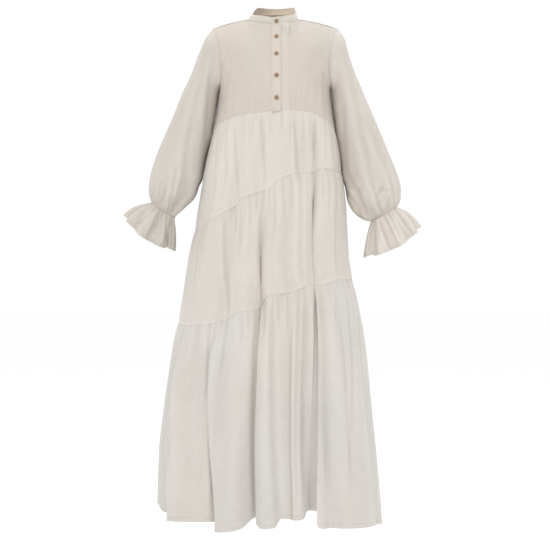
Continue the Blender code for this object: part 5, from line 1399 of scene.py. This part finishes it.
def tubePiece(name, points, middles, settings, material, gatherTop, gatherFoot=None):
    # a closed tube with its creases front and back and its crinkle, hemmed where its foot isn't gathered
    hem = gatherFoot is None
    normals = gridNormals(points, middles, True)
    u, down = clothMap(points, True)
    around = u[0, -1]
    u, down = u[:, :-1], down[:, :-1]
    toTop, toFoot = down, down[-1] - down
    front = facingShare(points, middles)
    extra = creases(points, settings["front"], front) + creases(points, settings["back"], 1 - front)
    extra += crinkle(u, down, settings["seed"], around)
    extra += gathers(u, toTop, gatherTop, around)
    if not hem:
        extra += gathers(u, toFoot, gatherFoot, around)
    fade = smoothStep(toTop / 0.010 + 0.3) * (1.0 if hem else smoothStep(toFoot / 0.006 + 0.2))
    extra = extra * fade
    # painted shade along the top seam and a painted shadow below it, painted shade and light over creases,
    # then the piece's painted tone
    seam = tubePaintedLightAndShade["top"] * bell(toTop, 0.0020) + tubePaintedLightAndShade["shadow"] * fading(toTop, 0.014)
    seam = seam + paintedTroughShade(extra, True) + settings["tone"]
    stitch = 0 * seam
    thickness = cloth["thickness"] + 0 * seam
    if hem:
        extra -= ruffleHem["dent"] * bell(toFoot - ruffleHem["turn"], 0.0016)
        stitch = stitchLine(toFoot, ruffleHem["turn"], 0.0016)
        # painted shade in the hem's dent at its stitch line
        seam = seam + tubePaintedLightAndShade["hem"] * bell(toFoot - ruffleHem["turn"], 0.0018)
        thickness = thickness + ruffleHem["thicker"] * (1 - smoothStep(toFoot / ruffleHem["turn"]))
    else:
        # a painted highlight on the elastic's ridge and painted shade just above it
        seam = seam - tubePaintedLightAndShade["foot"] * bell(toFoot, 0.0050)
        seam = seam + tubePaintedLightAndShade["aboveFoot"] * bell(toFoot - 0.010, 0.006)
        extra += elasticRoll["depth"] * bell(toFoot - elasticRoll["at"], elasticRoll["width"])
    outer = points + normals * extra[..., None]
    normals = gridNormals(outer, middles, True)
    wrap = np.concatenate([outer[:, -1:], outer, outer[:, :1]], axis=1)
    wrapNormals = np.concatenate([normals[:, -1:], normals, normals[:, :1]], axis=1)
    wrap, wrapNormals = turnedEdge(wrap, wrapNormals, "top", edgeRolls["sleeveTop"])
    pads = [2, 0]
    if not hem:
        wrap, wrapNormals = turnedEdge(wrap, wrapNormals, "foot", edgeRolls["sleeveFoot"])
        pads[1] = 1
    outer, normals = wrap[:, 1:-1], wrapNormals[:, 1:-1]
    edges = (tuple(pads), (0, 0))
    seam, stitch, thickness = (paddedField(field, edges) for field in (seam, stitch, thickness))
    inner = outer - normals * thickness[..., None]
    fields = {"seam": seam, "stitch": stitch, "stitchDown": 0 * seam}
    return makeShell(name, outer, inner, material, clothMap(outer, True), fields, True)


armRest = {"gap": 0.0004, "far": 0.034, "fade": 0.012,
           "top": -0.206, "topFade": 0.012, "foot": -0.505, "footFade": 0.03}


def bodySide(side, z):  # side seam of the bodice, then the skirt's side
    sign = sideSign(side)
    armholeFoot = armholePath(side, "front")[-1]
    seamEnd = bodyPoint(sign * 90, yokeSeam[0, 1])
    t = (armholeFoot[2] - z) / (armholeFoot[2] - seamEnd[2])
    return np.where(t < 1, armholeFoot[0] + (seamEnd[0] - armholeFoot[0]) * t, bodyPoint(sign * 90, z)[:, 0])


def armholeLine(side, face, knots):  # the armhole just as the bodice's own edge runs
    armhole = armholePath(side, face)
    seamEnd = bodyPoint(sideSign(side) * 90, seamHeight(yokeSeam, sideSign(side) * 90))
    below = armhole[-1] + (seamEnd - armhole[-1]) / bodiceShape["sideSeamRows"]
    edge = np.concatenate([armhole, below[None]])
    steps = 24
    fine = refine(edge, (len(edge) - 1) * steps + 1, 0)
    at = np.clip(knots, 0, len(armhole) - 1) * steps
    return np.stack([np.interp(at, np.arange(len(fine)), fine[:, k]) for k in range(3)], axis=1)


def sleevePiece(side):
    # armhole loop, then ovals down to the elastic, refined along the sleeve
    settings = sleeves[side]
    columns = settings["columns"]
    around = np.arange(columns) * 360 / columns
    knots = around / 180 * bodiceShape["armholeRows"]
    front = armholeLine(side, "front", knots)
    back = armholeLine(side, "back", 2 * bodiceShape["armholeRows"] - knots)
    first = np.where((around < 180)[:, None], front, back)
    rings, middles = [first], [first.mean(axis=0)]
    for ring, depth in zip(sleeveRings[side], puffDepths):
        points, middle = ringPoints(ring, around)
        rings.append(points + depth * np.cos(np.radians(around) * puffWaves)[:, None] * ringOut(ring, around))
        middles.append(middle)
    last = ruffleRings[side][0]
    points, middle = ringPoints(last, around)
    rings.append(points)
    middles.append(middle)
    spans = [np.linalg.norm(after - before, axis=1).mean() for before, after in zip(rings, rings[1:])]
    lengths = np.r_[0, np.cumsum(spans)]
    at = lengths[-1] * (1 - (1 - np.linspace(0, 1, settings["rows"])) ** 1.25)
    flat = np.stack(rings).reshape(len(rings), -1)
    points = np.stack([smoothCurve(at, lengths, line) for line in flat.T], axis=1)
    points = points.reshape(len(at), columns, 3)
    middles = np.stack([smoothCurve(at, lengths, line) for line in np.stack(middles).T], axis=1)[:, None]
    inner = points[:, columns // 2]
    gap = (inner[:, 0] - bodySide(side, inner[:, 2])) * sideSign(side)
    close = (gap - armRest["gap"]) * smoothStep((armRest["far"] - gap) / armRest["fade"])
    close *= (smoothStep((armRest["top"] - inner[:, 2]) / armRest["topFade"])
              * smoothStep((inner[:, 2] - armRest["foot"]) / armRest["footFade"]))
    share = np.clip(-np.cos(np.radians(around)), 0, 1) ** 3
    points[..., 0] -= sideSign(side) * close[:, None] * share
    capEase = {"pitch": 0.012, "depth": 0.0006, "reach": 0.02, "seed": settings["seed"] + 20}
    elastic = {"pitch": 0.0075, "depth": 0.0024, "reach": 0.030, "seed": settings["seed"] + 30}
    name = f"gauzeSleeve{side.capitalize()}"
    piece = tubePiece(name, points, middles, settings, gauzeSleeve, capEase, elastic)
    return finishPiece(piece, f"sleeve_{side}")


def rufflePiece(side):
    # ovals that widen from the elastic, each with an uneven wave round it
    settings = ruffles[side]
    around = np.arange(settings["columns"]) * 360 / settings["columns"]
    turn = np.radians(around)
    rings, middles = [], []
    for ring, depth, drop in zip(ruffleRings[side], ruffleDepths, ruffleDrops):
        points, middle = ringPoints(ring, around)
        points = points + ringAxis(ring) * drop * (np.abs(np.sin(turn)) ** 1.5)[:, None]
        wave = depth * (np.cos(ruffleWaves * turn + 0.7 * np.sin(2 * turn)) + 0.25 * np.cos(3 * turn + 1))
        rings.append(points + wave[:, None] * ringOut(ring, around))
        middles.append(middle)
    points = refine(np.stack(rings), settings["rows"], 0)
    middles = refine(np.stack(middles), settings["rows"], 0)[:, None]
    elastic = {"pitch": 0.0065, "depth": 0.0020, "reach": 0.022, "seed": settings["seed"] + 30}
    piece = tubePiece(f"gauzeRuffle{side.capitalize()}", points, middles, settings, gauzeRuffle, elastic)
    return finishPiece(piece, f"cuff_ruffle_{side}")


for side in ("right", "left"):
    sleeves[side]["piece"] = sleevePiece(side)
    ruffles[side]["piece"] = rufflePiece(side)
print("sleeves and ruffles made")

# Floor, light and camera

studio = {"floorZ": -1.72, "floorReach": 30.0, "floorTone": 0.96, "world": 1.03,
          "camera": (-0.0015, -4.0, -0.765), "pixels": 550, "metresPerPixel": 0.003, "sensor": 36.0,
          "lightsAim": (0, 0, -0.7),
          "lights": {  # place, size, power
              "key": ((-2.3, -2.9, 1.3), 2.2, 26), "fill": ((2.6, -2.9, -0.3), 2.6, 14),
              "top": ((0.2, 0.9, 2.4), 2.4, 40)}}


def studioFloor():
    # wide flat sheet of pale paper under the dress, open all round
    reach, floorZ = studio["floorReach"], studio["floorZ"]
    corners = [(-reach, -reach, floorZ), (reach, -reach, floorZ),
               (reach, reach, floorZ), (-reach, reach, floorZ)]
    mesh = bpy.data.meshes.new("studioFloor")
    mesh.from_pydata(corners, [], [(0, 1, 2, 3)])
    floor = bpy.data.objects.new("studioFloor", mesh)
    bpy.context.scene.collection.objects.link(floor)
    material, tree = newMaterial("palePaper")
    tone = studio["floorTone"]
    shade = ranged(tree, noiseNode(tree, objectPlace(tree), 90.0, 2.0), 0.0, 1.0, tone - 0.01, tone + 0.01)
    setInputs(tree, tree.nodes["Principled BSDF"], {"Base Color": shade, "Roughness": 0.9})
    mesh.materials.append(material)


def studioLights():
    for name, (place, size, power) in studio["lights"].items():
        light = bpy.data.lights.new(name, "AREA")
        light.size, light.energy = size, power
        lamp = bpy.data.objects.new(name, light)
        lamp.location = place
        aim = Vector(studio["lightsAim"]) - Vector(place)
        lamp.rotation_euler = aim.to_track_quat("-Z", "Y").to_euler()
        bpy.context.scene.collection.objects.link(lamp)
    world = bpy.data.worlds.new("studio")
    world.use_nodes = True
    setInputs(world.node_tree, world.node_tree.nodes["Background"],
              {"Color": (1, 1, 1, 1), "Strength": studio["world"]})
    bpy.context.scene.world = world
    bpy.context.scene.view_settings.view_transform = "Standard"


def studioCamera():
    camera = bpy.data.objects.new("camera", bpy.data.cameras.new("camera"))
    camera.data.sensor_width = studio["sensor"]
    shownWidth = studio["pixels"] * studio["metresPerPixel"]
    camera.data.lens = -studio["sensor"] * studio["camera"][1] / shownWidth
    camera.location = studio["camera"]
    camera.rotation_euler = (math.radians(90), 0, 0)
    bpy.context.scene.collection.objects.link(camera)
    bpy.context.scene.camera = camera


studioFloor()
studioLights()
studioCamera()
print("studio made")
